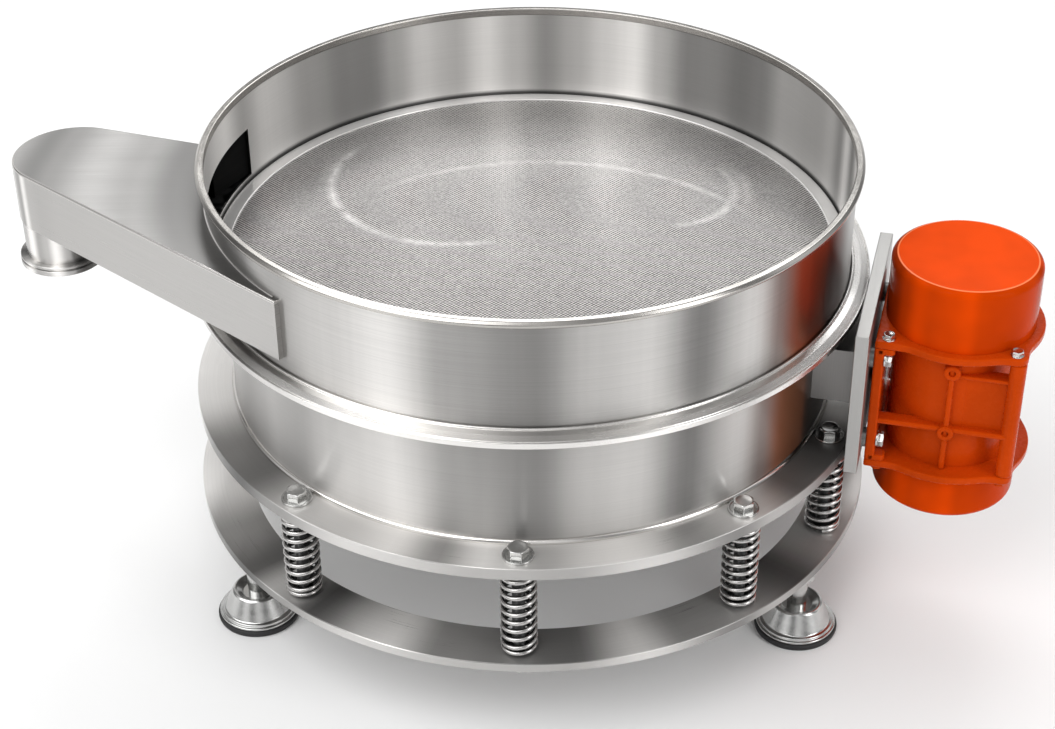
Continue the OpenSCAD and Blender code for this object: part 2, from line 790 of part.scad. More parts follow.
module shield_bolts() {
    color("gainsboro") at_shields() {
        translate([0, 0, 1.5]) hexagon(shield_bolt_d * 1.6, shield_bolt_d * 0.7);
        translate([0, 0, -shield_t - foot_end_h])
            cylinder(d = shield_bolt_d, h = shield_t + foot_end_h + 1.5);
    }
}

module shield_washers() {
    color("gainsboro") at_shields() ring(shield_bolt_d / 2 + hole_gap, shield_bolt_d, 1.5);
}

module cap_profile(r, h, f) {
    section(0, 0, r - f, h);
    section(0, 0, r, h - f);
    translate([r - f, h - f]) circle(r = f);
}

// Round cap with a closed, rounded end, open side down
module cap(d, h) {
    difference() {
        rotate_extrude() intersection() {
            cap_profile(d / 2, h, cap_round);
            section(0, 0, d, h);
        }
        translate([0, 0, -1]) cylinder(r = d / 2 - cap_wall, h = h - cap_round + 1);
        translate([0, 0, -1]) cylinder(r = d / 2 - cap_round, h = h - cap_wall + 1);
    }
}

module upper_cap() {
    color("orangered") difference() {
        at_motor(z_body_top) cap(upper_cap_d, upper_cap_h);
        at_cap_screws() cylinder(r = screw_r + hole_gap, h = 20, center = true);
    }
}

module lower_cap() {
    color("orangered") difference() {
        at_motor(z_body) mirror([0, 0, 1]) cap(lower_cap_d, lower_cap_h);
        at_cap_screws() cylinder(r = screw_r + hole_gap, h = 20, center = true);
    }
}

// Seal rings in the spigots' grooves
module cap_seals() {
    color("dimgray") at_motor(z_body_top + spigot_h - 4)
        ring(upper_cap_d / 2 - cap_wall - 2.4, upper_cap_d / 2 - cap_wall - 0.1, 2.5);
    color("dimgray") at_motor(z_body - spigot_h + 1.5)
        ring(lower_cap_d / 2 - cap_wall - 2.4, lower_cap_d / 2 - cap_wall - 0.1, 2.5);
}

// Three cap screw places on the back of each cap, Z pointing in to the motor's axis
module at_cap_screws() {
    for (a = [30, 90, 150]) {
        at_motor(z_body_top + spigot_h / 3) rotate([0, 0, a])
            translate([upper_cap_d / 2, 0, 0]) rotate([0, -90, 0]) children();
        at_motor(z_body - spigot_h / 3) rotate([0, 0, a])
            translate([lower_cap_d / 2, 0, 0]) rotate([0, -90, 0]) children();
    }
}

module cap_screws() {
    color("gainsboro") at_cap_screws() {
        translate([0, 0, -2.5]) cylinder(r = screw_r * 1.8, h = 2.5);
        cylinder(r = screw_r, h = cap_wall + 4);
    }
}

module at_terminal_screws() {
    for (x = [-1, 1]) for (z = [-1, 1])
        at_motor(z_motor) translate([x * (box_w / 2 - 3), box_out - cover_t, z * (box_h / 2 - 3)])
            rotate([-90, 0, 0]) children();
}

module terminal_cover() {
    color("orangered") difference() {
        at_motor(z_motor) translate([-box_w / 2, box_out - cover_t, -box_h / 2])
            cube([box_w, cover_t, box_h]);
        at_terminal_screws() cylinder(r = screw_r + hole_gap, h = 24, center = true);
    }
}

module terminal_screws() {
    color("gainsboro") at_terminal_screws() {
        translate([0, 0, cover_t]) cylinder(r = screw_r * 1.8, h = 2.5);
        translate([0, 0, -10]) cylinder(r = screw_r, h = 10 + cover_t);
    }
}

// Cable gland on the drum side of the terminal box, with its hole along X
module cable_gland() {
    r = gland_d / 2;
    color("dimgray") at_motor(z_motor) translate([-box_w / 2, gland_y, 0])
        rotate([0, -90, 0]) difference() {
            union() {
                translate([0, 0, -6]) cylinder(r = r, h = 7);
                hexagon(gland_d * 1.2, 6);
                translate([0, 0, 6]) cylinder(r = r * 1.05, h = 10);
            }
            translate([0, 0, -7]) cylinder(r = cable_d / 2, h = 24);
        }
}

module stator() {
    color("sienna") at_motor(z_motor - stator_len / 2)
        ring(stator_bore_d / 2, barrel_r - barrel_wall - hole_gap, stator_len);
}

module bearing() {
    ring(shaft_d / 2 + run_gap, bearing_d / 2, bearing_w);
}

module bearings() {
    color("gray") at_motor(z_body_top - 2 - bearing_w) bearing();
    color("gray") at_motor(z_body + 2) bearing();
}

module rotor_shaft() {
    reach = body_h / 2 + 4 + 2 * weight_t + weight_gap + shaft_over;
    color("lightgray") at_motor(z_motor) cylinder(d = shaft_d, h = 2 * reach, center = true);
}

module rotor_core() {
    color("darkgray") at_motor(z_motor - stator_len / 2)
        ring(shaft_d / 2 + run_gap, stator_bore_d / 2 - air_gap, stator_len);
}

// Half-round weight with a hub round the shaft
module weight() {
    difference() {
        union() {
            cylinder(r = weight_hub_r, h = weight_t);
            intersection() {
                cylinder(r = weight_r, h = weight_t);
                translate([0, -weight_r, 0]) cube([weight_r, 2 * weight_r, weight_t]);
            }
        }
        translate([0, 0, -1]) cylinder(r = shaft_d / 2 + run_gap, h = weight_t + 2);
    }
}

module fixed_weights() {
    color("dimgray") at_motor(z_weight_up) weight();
    color("dimgray") at_motor(z_weight_down - weight_t) weight();
}

module upper_weight() {
    color("gray") at_motor(z_weight_up + weight_t + weight_gap) weight();
}

module lower_weight() {
    color("gray") at_motor(z_weight_down - 2 * weight_t - weight_gap) weight();
}

// Hexagon bolt from above the deck plate down through the base ring
module spring_bolts() {
    shank = washer_t + deck_t + spring_len + base_t + stop_gap + washer_t + stop_nut_h + 1;
    color("gainsboro") at_springs(z_deck + washer_t) {
        hexagon(bolt_af, bolt_head_h);
        translate([0, 0, -shank]) cylinder(d = bolt_d, h = shank);
    }
}

module bolt_washers() {
    color("gainsboro") at_springs(z_deck) ring(bolt_d / 2 + hole_gap, washer_d / 2, washer_t);
}

module spring_nuts() {
    color("silver") at_springs(z_deck_low - nut_h) difference() {
        hexagon(bolt_af, nut_h);
        translate([0, 0, -1]) cylinder(r = bolt_d / 2 + run_gap, h = nut_h + 2);
    }
}

module stop_washers() {
    color("silver") at_springs(z_base - stop_gap - washer_t)
        ring(bolt_d / 2 + hole_gap, washer_d / 2, washer_t);
}

module stop_nuts() {
    color("silver") at_springs(z_base - stop_gap - washer_t - stop_nut_h) difference() {
        hexagon(bolt_af, stop_nut_h);
        translate([0, 0, -1]) cylinder(r = bolt_d / 2 + run_gap, h = stop_nut_h + 2);
    }
}

module base_ring() {
    color("lightgray") difference() {
        translate([0, 0, z_base]) ring(base_hole_r, base_r, base_t);
        at_springs(z_base - 1) cylinder(r = bolt_d / 2 + bolt_play, h = base_t + 2);
    }
}

// Collars on the base ring inside the springs
module spring_collars() {
    r_out = (spring_d / 2 - wire_d) * cos(180 / spring_seg) - part_gap;
    color("silver") at_springs(z_base_top) ring(bolt_d / 2 + bolt_play, r_out, collar_h);
}

// Coil whose first and last turns close up flat against the plates
spring_seg = 8;
function coil_z(t) = let (
    free = spring_len - wire_d,
    flat = 1,
    pitch = (free - 2 * flat * wire_d) / (spring_turns - 2 * flat)
) t < flat ? t * wire_d
    : t > spring_turns - flat ? free - (spring_turns - t) * wire_d
    : flat * wire_d + (t - flat) * pitch;

module spring() {
    rw = wire_d / 2;
    rc = spring_d / 2 - rw;
    steps = floor(spring_turns * spring_seg);
    points = [
        for (i = [0:steps]) let (t = i / spring_seg, a = t * 360)
            for (k = [0:3]) let (b = k * 90)
                [(rc + rw * cos(b)) * cos(a), (rc + rw * cos(b)) * sin(a), rw + coil_z(t) + rw * sin(b)]
    ];
    lower_faces = [
        for (i = [0:steps - 1]) for (k = [0:3]) [i * 4 + k, i * 4 + (k + 1) % 4, i * 4 + 4 + (k + 1) % 4]
    ];
    upper_faces = [
        for (i = [0:steps - 1]) for (k = [0:3]) [i * 4 + k, i * 4 + 4 + (k + 1) % 4, i * 4 + 4 + k]
    ];
    ends = [[3, 2, 1, 0], [for (k = [0:3]) steps * 4 + k]];
    polyhedron(points, concat(ends, lower_faces, upper_faces));
}

module springs() {
    color("gainsboro") at_springs(z_base_top) spring();
}

// Threaded sockets that the stems screw into
module foot_sockets() {
    color("silver") for (i = [0:2]) at_foot(i, z_base - socket_h)
        ring(stem_d / 2 + run_gap, socket_d / 2, socket_h);
}

module foot_nuts() {
    color("silver") for (i = [0:2]) at_foot(i, z_base - socket_h - lock_nut_h) difference() {
        hexagon(lock_nut_af, lock_nut_h);
        translate([0, 0, -1]) cylinder(r = stem_d / 2 + run_gap, h = lock_nut_h + 2);
    }
}

module foot_stem(i) {
    z_seat = z_floor + sole_t + pad_h - pad_dish;
    color("silver") at_foot(i, z_seat) cylinder(d = stem_d, h = z_base - stem_room - z_seat);
}

// Steel pad: a lip, a cone and a dished top round the stem
module foot_pad(i) {
    r = sole_d / 2 - 2;
    rt = pad_top_d / 2;
    profile = [
        [0, 0], [r, 0], [r, 3], [r - 3, 6], [rt + 1, pad_h], [rt - 3, pad_h],
        [stem_d / 2 + 5, pad_h - pad_dish], [0, pad_h - pad_dish]
    ];
    color("gainsboro") at_foot(i, z_floor + sole_t) rotate_extrude() polygon(profile);
}

module foot_sole(i) {
    color("black") at_foot(i, z_floor) cylinder(d = sole_d, h = sole_t);
}

rim_ring();
upper_drum();
spout_trough();
spout_cover();
spout_tube();
spout_ferrule();
screen_frame();
screen_mesh();
screen_gasket();
clamp_band();
clamp_bolt();
clamp_nut();
lower_drum();
discharge_cone();
outlet_tube();
outlet_ferrule();
deck_plate();
motor_bracket();
motor_plate();
motor_spacers();
motor_bolts();
motor_washers();
motor_housing();
upper_end_shield();
lower_end_shield();
shield_bolts();
shield_washers();
upper_cap();
lower_cap();
cap_seals();
cap_screws();
terminal_cover();
terminal_screws();
cable_gland();
stator();
bearings();
rotor_shaft();
rotor_core();
fixed_weights();
upper_weight();
lower_weight();
spring_bolts();
bolt_washers();
spring_nuts();
stop_washers();
stop_nuts();
base_ring();
spring_collars();
springs();
foot_sockets();
foot_nuts();
foot_stem(0);  // foot_stem_1
foot_stem(1);  // foot_stem_2
foot_stem(2);  // foot_stem_3
foot_pad(0);  // foot_pad_1
foot_pad(1);  // foot_pad_2
foot_pad(2);  // foot_pad_3
foot_sole(0);  // foot_sole_1
foot_sole(1);  // foot_sole_2
foot_sole(2);  // foot_sole_3
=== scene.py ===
import bpy
import json
import numpy as np
from functools import partialmethod
from math import radians
from mathutils import Matrix, Vector


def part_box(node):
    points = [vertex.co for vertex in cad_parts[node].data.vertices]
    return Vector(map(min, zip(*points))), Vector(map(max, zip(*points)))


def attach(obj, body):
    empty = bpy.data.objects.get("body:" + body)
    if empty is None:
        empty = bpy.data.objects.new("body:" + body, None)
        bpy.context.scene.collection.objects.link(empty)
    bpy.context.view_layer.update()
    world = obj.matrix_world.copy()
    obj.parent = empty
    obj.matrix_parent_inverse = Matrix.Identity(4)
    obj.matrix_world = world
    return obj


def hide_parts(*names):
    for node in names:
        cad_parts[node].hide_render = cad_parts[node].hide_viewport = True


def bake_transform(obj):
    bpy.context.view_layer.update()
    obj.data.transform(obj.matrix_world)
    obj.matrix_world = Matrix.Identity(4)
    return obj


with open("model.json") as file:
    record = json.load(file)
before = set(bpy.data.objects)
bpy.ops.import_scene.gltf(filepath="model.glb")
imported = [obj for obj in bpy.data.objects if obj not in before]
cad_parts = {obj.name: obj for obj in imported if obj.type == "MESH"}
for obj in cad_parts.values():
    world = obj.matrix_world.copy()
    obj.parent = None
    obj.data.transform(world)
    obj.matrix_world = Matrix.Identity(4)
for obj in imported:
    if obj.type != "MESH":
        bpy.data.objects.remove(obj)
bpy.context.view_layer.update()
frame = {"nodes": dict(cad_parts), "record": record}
nodes = frame["nodes"]
print("frame loaded:", len(nodes), "nodes")


# corners of a CAD piece's box in millimetres
def lowOf(node):
    return np.array(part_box(node)[0]) * 1000


def highOf(node):
    return np.array(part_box(node)[1]) * 1000


def zSpan(node):
    return lowOf(node)[2], highOf(node)[2]


zRim = highOf("rim_ring")[2]
zUpperLow = lowOf("upper_drum")[2]
zLowerTop = highOf("lower_drum")[2]
zScreen, zFrameTop = zSpan("screen_frame")
zDeckLow, zDeck = zSpan("deck_plate")
zBase, zBaseTop = zSpan("base_ring")
zSpout = lowOf("spout_trough")[2]
zSpoutTop = highOf("spout_cover")[2]
zFloor = lowOf("foot_sole_1")[2]
rimR = highOf("rim_ring")[0]
deckR = highOf("deck_plate")[1]
baseR = highOf("base_ring")[1]
flangeR = highOf("lower_drum")[1]
bandR = -lowOf("clamp_band")[0]
spoutPipeMid = (lowOf("spout_tube") + highOf("spout_tube"))[:2] / 2

motorAngle = radians(-15.5)
motorR = np.hypot(*(lowOf("rotor_shaft") + highOf("rotor_shaft"))[:2] / 2)
springR = 400.0
springAngles = motorAngle + np.radians([11, 37.8, 77.7, 118.7, -11, -37.8, -77.7, -118.7, 180.0])
footR = 394.0
footAngles = np.radians([-33.6, 86.4, 206.4])


def around(steps):
    return np.linspace(0, 2 * np.pi, steps, endpoint=False)


# direction or directions in the plan: (cos a, sin a)
def unit(angle):
    return np.stack([np.cos(angle), np.sin(angle)], -1)


# rows of vectors brought to length 1
def unitRows(rows):
    return rows / np.maximum(np.linalg.norm(rows, axis=1, keepdims=True), 1e-9)


def turnZ(angle):
    c, s = unit(angle)
    return np.array([[c, -s, 0], [s, c, 0], [0, 0, 1]])


# shape of a grid of points, closed round either way on request; one way only leaves two ends, which get caps
def gridShape(points, wrapRows=False, wrapCols=False):
    rows, cols = points.shape[:2]
    i, j = np.meshgrid(np.arange(rows if wrapRows else rows - 1),
                       np.arange(cols if wrapCols else cols - 1), indexing="ij")
    i2, j2 = (i + 1) % rows, (j + 1) % cols
    faces = np.stack([i * cols + j, i2 * cols + j, i2 * cols + j2, i * cols + j2], -1).reshape(-1, 4)
    caps = []
    if wrapRows and not wrapCols:
        start = np.arange(rows) * cols
        caps = [start[::-1].tolist(), (start + cols - 1).tolist()]
    elif wrapCols and not wrapRows:
        start = np.arange(cols)
        caps = [start.tolist(), (start[::-1] + (rows - 1) * cols).tolist()]
    return points.reshape(-1, 3), faces, caps


# closed outline whose corner k is turned by an arc of its own radius: the arc runs between
# the two points where a circle of that radius touches the corner's sides
def roundCorners(corners, steps=4, support=0.2):
    corners = np.asarray(corners, float)
    p, r = corners[:, :2], np.maximum(corners[:, 2], 0.02)[:, None]
    a, b = unitRows(np.roll(p, 1, 0) - p), unitRows(np.roll(p, -1, 0) - p)
    half = np.arccos(np.clip((a * b).sum(1), -1, 1))[:, None] / 2
    away = r / np.tan(half)
    centre = p + unitRows(a + b) * r / np.sin(half)
    v0, v1 = p + a * away - centre, p + b * away - centre
    turn = (np.pi - 2 * half)[:, :, None]
    t = np.linspace(0, 1, steps + 1)[None, :, None]
    arc = (np.sin((1 - t) * turn) * v0[:, None] + np.sin(t * turn) * v1[:, None]) / np.sin(turn)
    before, after = ((p + way * (away + support))[:, None] for way in (a, b))
    return np.concatenate([before, arc + centre[:, None], after], 1).reshape(-1, 2)


# profile of a flat ring or a tube from its radii and heights, or any rectangle
def ringProfile(inner, outer, low, high, innerEdge, outerEdge, steps):
    return roundCorners([[inner, low, innerEdge], [outer, low, outerEdge],
                         [outer, high, outerEdge], [inner, high, innerEdge]], steps)


# outline moved outwards by a distance, along the mitre of its two sides at each point
def moveOut(outline, distance):
    a = unitRows(outline - np.roll(outline, 1, 0))
    na, nb = (side[:, ::-1] * [1, -1] for side in (a, np.roll(a, -1, 0)))
    n = na + nb
    n /= np.maximum((n * na).sum(1, keepdims=True), 0.2)
    return outline + n * distance


# radii and heights turned about the Z axis: x = r cos a, y = r sin a; each angle may have radii of its own
def spin(radii, heights, angles):
    a = angles[:, None]
    r, z = radii + 0 * a, heights + 0 * a
    return np.stack([r * np.cos(a), r * np.sin(a), z], -1)


# ring heights and insets of a slab with rounded edges: a quarter circle at each face
def slabLevels(low, high, edge, steps=3):
    t = np.linspace(0, np.pi / 2, steps + 1)
    near = min(0.3, (high - low) / 6)
    out, up = edge * (1 - np.sin(t)), edge * (1 - np.cos(t))
    inset = np.concatenate([[edge + near], out, [0, 0], up, [edge + near]])
    z = np.concatenate([[low], low + up, [low + edge + near, high - edge - near], high - out, [high]])
    return inset, z


# the outline at each level, drawn in by the level's inset
def stackRings(outline, inset, z):
    return [np.column_stack([moveOut(outline, -d), np.full(len(outline), h)]) for d, h in zip(inset, z)]


def boxShape(low, high, edge, corner):
    outline = ringProfile(low[0], high[0], low[1], high[1], corner, corner, 3)
    return gridShape(np.stack(stackRings(outline, *slabLevels(low[2], high[2], edge)), 1), True)


# ring or disc turned from a profile; an open profile gets a cap at each end
def turnedShape(profile, segments=96, centre=(0, 0), closed=True):
    return gridShape(spin(*profile.T, around(segments)) + [*centre, 0], True, closed)


# several shapes in one mesh
def joinShapes(shapes):
    points, faces, caps, count = [], [], [], 0
    for p, f, c in shapes:
        points.append(p)
        faces.append(np.asarray(f).reshape(-1, 4) + count)
        caps += [(np.asarray(k) + count).tolist() for k in c]
        count += len(p)
    return np.concatenate(points), np.concatenate(faces), caps


def moved(shape, matrix, move=(0, 0, 0)):
    points, faces, caps = shape
    return points @ np.asarray(matrix, float).T + np.asarray(move, float), faces, caps


# shape set at a radius and angle round the drum, turned about its own axis
def shiftTo(shape, angle, radius, z=0.0, spinBy=0.0):
    return moved(shape, turnZ(spinBy), [*radius * unit(angle), z])


# frame at the motor's axis: x away from the drum, y along the plate, z up
def atMotor(shape):
    return shiftTo(shape, motorAngle, motorR, 0.0, motorAngle)


# turn that lays a shape's height along x
alongX = np.array([[0, 0, 1], [1, 0, 0], [0, 1, 0]])


# nodes of a material or of the world
class nodeBench:
    def __init__(self, owner):
        owner.use_nodes = True
        self.owner, self.tree = owner, owner.node_tree
        self.shader = self.tree.nodes.get("Principled BSDF")

    def add(self, kind, **values):
        node = self.tree.nodes.new(kind)
        for key, value in values.items():
            setattr(node, key, value)
        return node

    # a number or a colour is set on the socket itself, anything else is linked to it
    def feed(self, value, socket):
        if isinstance(value, (int, float)):
            socket.default_value = value
        elif isinstance(value, tuple):
            socket.default_value = (*value, 1)
        else:
            self.tree.links.new(value, socket)

    def shade(self, values):
        for key, value in values.items():
            self.feed(value, self.shader.inputs[key])

    def math(self, operation, *values):
        node = self.add("ShaderNodeMath", operation=operation)
        for value, socket in zip(values, node.inputs):
            self.feed(value, socket)
        return node.outputs[0]

    times = partialmethod(math, "MULTIPLY")
    plus = partialmethod(math, "ADD")
    minus = partialmethod(math, "SUBTRACT")
    over = partialmethod(math, "DIVIDE")
    above = partialmethod(math, "GREATER_THAN")
    most = partialmethod(math, "MAXIMUM")
    turn = partialmethod(math, "ARCTAN2")
    timesPlus = partialmethod(math, "MULTIPLY_ADD")

    def clamp(self, value, high):
        return self.math("MINIMUM", self.most(value, 0.0), high)

    # 1 at the middle, falling to 0 at its width: max(0, 1 - |value - middle| / width)
    def hill(self, value, middle, width):
        off = self.over(self.math("ABSOLUTE", self.minus(value, middle)), width)
        return self.most(self.minus(1.0, off), 0.0)

    # x, y and the distance in the plan from a middle in metres
    def awayFrom(self, xyz, middle):
        dx, dy = self.minus(xyz["X"], middle[0]), self.minus(xyz["Y"], middle[1])
        return dx, dy, self.math("SQRT", self.plus(self.times(dx, dx), self.times(dy, dy)))

    def vector(self, **parts):
        node = self.add("ShaderNodeCombineXYZ")
        for key, value in parts.items():
            self.feed(value, node.inputs[key])
        return node.outputs[0]

    def along(self, operation, vector):
        node = self.add("ShaderNodeVectorMath", operation=operation)
        self.feed(vector, node.inputs[0])
        return node

    def place(self, kind="Object"):
        coords = self.add("ShaderNodeTexCoord").outputs[kind]
        split = self.add("ShaderNodeSeparateXYZ")
        self.feed(coords, split.inputs[0])
        return coords, split.outputs

    def noise(self, vector, scale, detail=3.0, roughness=0.55, stretch=None):
        if stretch:
            mapping = self.add("ShaderNodeMapping")
            mapping.inputs["Scale"].default_value = stretch
            self.feed(vector, mapping.inputs["Vector"])
            vector = mapping.outputs[0]
        node = self.add("ShaderNodeTexNoise", noise_dimensions="3D")
        for key, value in dict(Scale=scale, Detail=detail, Roughness=roughness, Vector=vector).items():
            self.feed(value, node.inputs[key])
        return node.outputs["Fac"]

    def ramp(self, value, stops, kind="LINEAR"):
        node = self.add("ShaderNodeValToRGB")
        node.color_ramp.interpolation = kind
        elements = node.color_ramp.elements
        while len(elements) < len(stops):
            elements.new(0.5)
        for element, (place, colour) in zip(elements, stops):
            element.position = place
            element.color = (*colour, 1)
        self.feed(value, node.inputs[0])
        return node.outputs[0]

    def blend(self, factor, a, b, kind="MIX"):
        node = self.add("ShaderNodeMix", data_type="RGBA", blend_type=kind)
        for value, socket in ((factor, 0), (a, 6), (b, 7)):
            self.feed(value, node.inputs[socket])
        return node.outputs[2]

    def mapRange(self, value, *ranges):
        node = self.add("ShaderNodeMapRange")
        for key, number in zip(("From Min", "From Max", "To Min", "To Max"), ranges):
            node.inputs[key].default_value = number
        self.feed(value, node.inputs["Value"])
        return node.outputs[0]

    # noise, which keeps to its middle, spread over a range
    def spread(self, value, low, high):
        return self.mapRange(value, 0.3, 0.7, low, high)

    def bump(self, height, strength, distance):
        node = self.add("ShaderNodeBump")
        for key, value in dict(Strength=strength, Distance=distance, Height=height).items():
            self.feed(value, node.inputs[key])
        self.feed(node.outputs[0], self.shader.inputs["Normal"])

    # brush lines a hair wide, and the pale grey they give
    def brushLines(self, vector, stretch):
        lines = self.noise(vector, 1.0, 4.0, 0.7, stretch)
        return lines, self.ramp(lines, [(0.36, (0.92, 0.92, 0.92)), (0.64, (1, 1, 1))])

    # level of the painted light and shade bands at this point's angle round the axis, or round a pivot; a
    # stop's second number mixes in a painted orange reflection of the motor
    def paintedLightBands(self, xyz, stops, depth=1.0, pivot=(0.0, 0.0), lift=0.0):
        turn = self.turn(self.minus(xyz["Y"], pivot[1]), self.minus(xyz["X"], pivot[0]))
        share = self.math("FRACT", self.plus(self.times(turn, float(0.5 / np.pi)), 1.0))
        shades = []
        for degrees, level in stops.items():
            level, motorReflection = level if isinstance(level, tuple) else (level, 0.0)
            v = min(1.0, bandMean + lift + (level - bandMean) * depth)
            shades.append((degrees / 360, (v, v * (0.98 - 0.66 * motorReflection), v * (0.955 - 0.84 * motorReflection))))
        return self.ramp(share, shades, "EASE")


def newBench(name):
    return nodeBench(bpy.data.materials.new(name))


# painted reflections: soft upright bands of light and dark, as brushed steel shows them in a studio, painted
# into
# the colour: degrees round the drum and a level or, beside the orange motor, a level and its share of a
# painted orange reflection of the motor; depth is measured from their mean. The base ring's bands also paint
# the shade of the deck above it, and the cap's bands are painted highlights
bandMean = 0.45
paintedBands = dict(
    wall={0: 0.4, 22: 0.3, 30: 0.38, 45: 0.18, 56: 0.22, 69: 0.75, 86: 0.22, 97: 0.6, 110: 0.48, 125: 0.17,
          149: 0.5, 160: 0.3, 180: 0.36, 198: 0.5, 206: 0.42, 215: 0.56, 224: 0.46, 232: 0.6, 244: 0.78,
          256: 0.4, 270: 0.28, 279: 0.6, 287: 0.7, 297: 0.2, 308: 0.72, 314: (0.32, 0.2), 320: (0.4, 0.9),
          327: (0.28, 0.9), 330: (0.1, 0.4), 334: (0.16, 0.1), 342: 0.45, 360: 0.4},
    inside={0: 0.22, 5: 0.85, 9: 0.3, 14: 0.55, 20: 0.46, 32: 0.5, 38: 0.27, 44: 0.22, 50: 0.27, 56: 0.25,
            62: 0.48, 68: 0.9, 74: 0.72, 80: 0.52, 86: 0.34, 92: 0.66, 98: 0.97, 104: 0.64, 110: 0.74,
            117: 0.4, 122: 0.24, 128: 0.29, 137: 0.48, 150: 0.85, 158: 0.5, 166: 0.95, 180: 0.6, 244: 0.9,
            290: 0.55, 330: 0.8, 352: 0.9, 360: 0.22},
    deck={0: 0.8, 30: 0.5, 60: 0.9, 90: 0.5, 120: 0.9, 150: 0.5, 175: 0.9, 190: 0.8, 207: 0.26, 216: 0.2,
          228: 0.7, 238: 0.56, 246: 0.66, 254: 0.3, 262: 0.95, 270: 0.6, 283: 0.95, 296: 0.34, 308: 0.8,
          318: 0.2, 333: 0.12, 342: 0.95, 360: 0.8},
    base={0: 0.5, 45: 0.3, 90: 0.7, 135: 0.3, 180: 0.8, 190: 0.9, 205: 0.35, 216: 0.16, 222: 0.75, 231: 0.1,
          246: 0.95, 254: 0.35, 276: 0.2, 286: 0.95, 294: 0.4, 306: 0.4, 318: 0.12, 328: 0.5, 342: 0.8,
          360: 0.5},
    edge={0: 0.5, 40: 0.3, 90: 0.6, 140: 0.35, 180: 0.8, 190: 0.95, 205: 0.24, 214: 0.1, 224: 0.34, 240: 0.72,
          262: 0.5, 275: 0.44, 287: 0.72, 303: 0.26, 311: 0.5, 326: 0.22, 335: 0.42, 345: 0.2, 360: 0.5},
    spout={0: 0.5, 60: 0.4, 120: 0.5, 150: 0.3, 165: 0.5, 178: 0.28, 191: 0.08, 196: 0.16, 203: 0.75,
           209: 0.42, 215: 0.36, 222: 0.95, 229: 0.5, 245: 0.47, 270: 0.5, 300: 0.52, 360: 0.42},
    pipe={0: 0.14, 13: 0.3, 60: 0.6, 120: 0.3, 165: 0.5, 190: 0.1, 198: 0.16, 212: 0.42, 230: 0.95, 244: 0.4,
          258: 0.5, 272: 1.0, 290: 0.5, 309: 0.16, 332: 0.4, 352: 0.14, 360: 0.14},
    cap={0: 0.6, 90: 0.75, 180: 0.34, 196: 0.4, 208: 0.66, 222: 0.92, 234: 0.74, 248: 0.78, 262: 0.88,
         272: 0.7, 296: 0.66, 318: 0.72, 336: 0.56, 348: 0.8, 360: 0.6},
)


# brushed stainless sheet: brush lines run round the drum ("wall"), round the plate ("ring") or along x
# ("flat"); its colour is a level from the painted reflection bands, times a tint, and a flat plate's rim
# below topZ takes painted bands of its own; a foot of painted shade darkens the sheet from one height to
# another, from one share to another
def brushedSteel(name, colour, rough=0.3, stretch=0.75, grain="wall", tone=0.06, banding=None,
                 edgeBanding=None, topZ=0.0, depth=1.0, pivot=(0.0, 0.0), lift=0.0, metal=1.0, footShade=None):
    bench = newBench(name)
    place, xyz = bench.place()
    if grain == "wall":
        lines = bench.noise(place, 1.0, 4.0, 0.7, (3, 3, 900))
        cloud = bench.noise(place, 1.0, 3.0, 0.6, (22, 22, 0.5))
        tangent = bench.vector(Z=1.0)
    elif grain == "ring":
        flat = bench.vector(X=xyz["X"], Y=xyz["Y"])
        length = bench.along("LENGTH", flat).outputs["Value"]
        polar = bench.vector(X=length, Y=bench.turn(xyz["Y"], xyz["X"]), Z=xyz["Z"])
        lines = bench.noise(polar, 1.0, 4.0, 0.7, (900, 1.5, 20))
        cloud = bench.noise(place, 9.0, 2.0, 0.5)
        tangent = bench.along("NORMALIZE", flat).outputs[0]
    else:
        lines = bench.noise(place, 1.0, 4.0, 0.7, (900, 900, 6))
        cloud = bench.noise(place, 7.0, 2.0, 0.5)
        tangent = bench.vector(X=1.0)
    mixed = bench.plus(bench.times(lines, 0.5), bench.times(cloud, 0.5))
    dark = tuple(c * (1 - tone) for c in colour)
    light = tuple(min(1, c * (1 + tone)) for c in colour)
    paint = bench.ramp(mixed, [(0.36, dark), (0.64, light)])
    # painted reflections: bands of light and dark multiply the sheet's colour
    if banding:
        level = bench.paintedLightBands(xyz, banding, depth, pivot, lift)
        if edgeBanding:
            onTop = bench.above(xyz["Z"], topZ)
            level = bench.blend(onTop, bench.paintedLightBands(xyz, edgeBanding, depth, pivot), level)
        paint = bench.blend(1.0, paint, level, "MULTIPLY")
    # painted shade: the sheet grows darker towards its foot, from one height down to another
    if footShade:
        paint = bench.blend(1.0, paint, bench.mapRange(xyz["Z"], *footShade), "MULTIPLY")
    bench.shade({"Base Color": paint, "Roughness": bench.spread(mixed, rough * 0.82, rough * 1.18),
                 "Metallic": metal, "Anisotropic": stretch, "Tangent": tangent})
    bench.bump(lines, 0.35, 0.00004)
    return bench.owner


# colour that varies from one share of itself to another with the grain
def grained(bench, grain, colour, low, high):
    return bench.ramp(grain, [(place, tuple(c * share for c in colour))
                              for place, share in ((0.35, low), (0.65, high))])


# bright turned or plated metal
def brightMetal(name, colour, rough):
    bench = newBench(name)
    grain = bench.noise(bench.place()[0], 90.0, 3.0)
    bench.shade({"Base Color": grained(bench, grain, colour, 0.9, 1.0), "Metallic": 1.0,
                 "Roughness": bench.spread(grain, rough * 0.8, rough * 1.3)})
    bench.bump(grain, 0.15, 0.0002)
    return bench.owner


def mattRubber(name, colour, rough):
    bench = newBench(name)
    grain = bench.noise(bench.place()[0], 240.0, 4.0)
    bench.shade({"Base Color": grained(bench, grain, colour, 0.7, 1.3),
                 "Roughness": bench.spread(grain, rough * 0.85, rough * 1.15)})
    bench.bump(grain, 0.3, 0.0004)
    return bench.owner
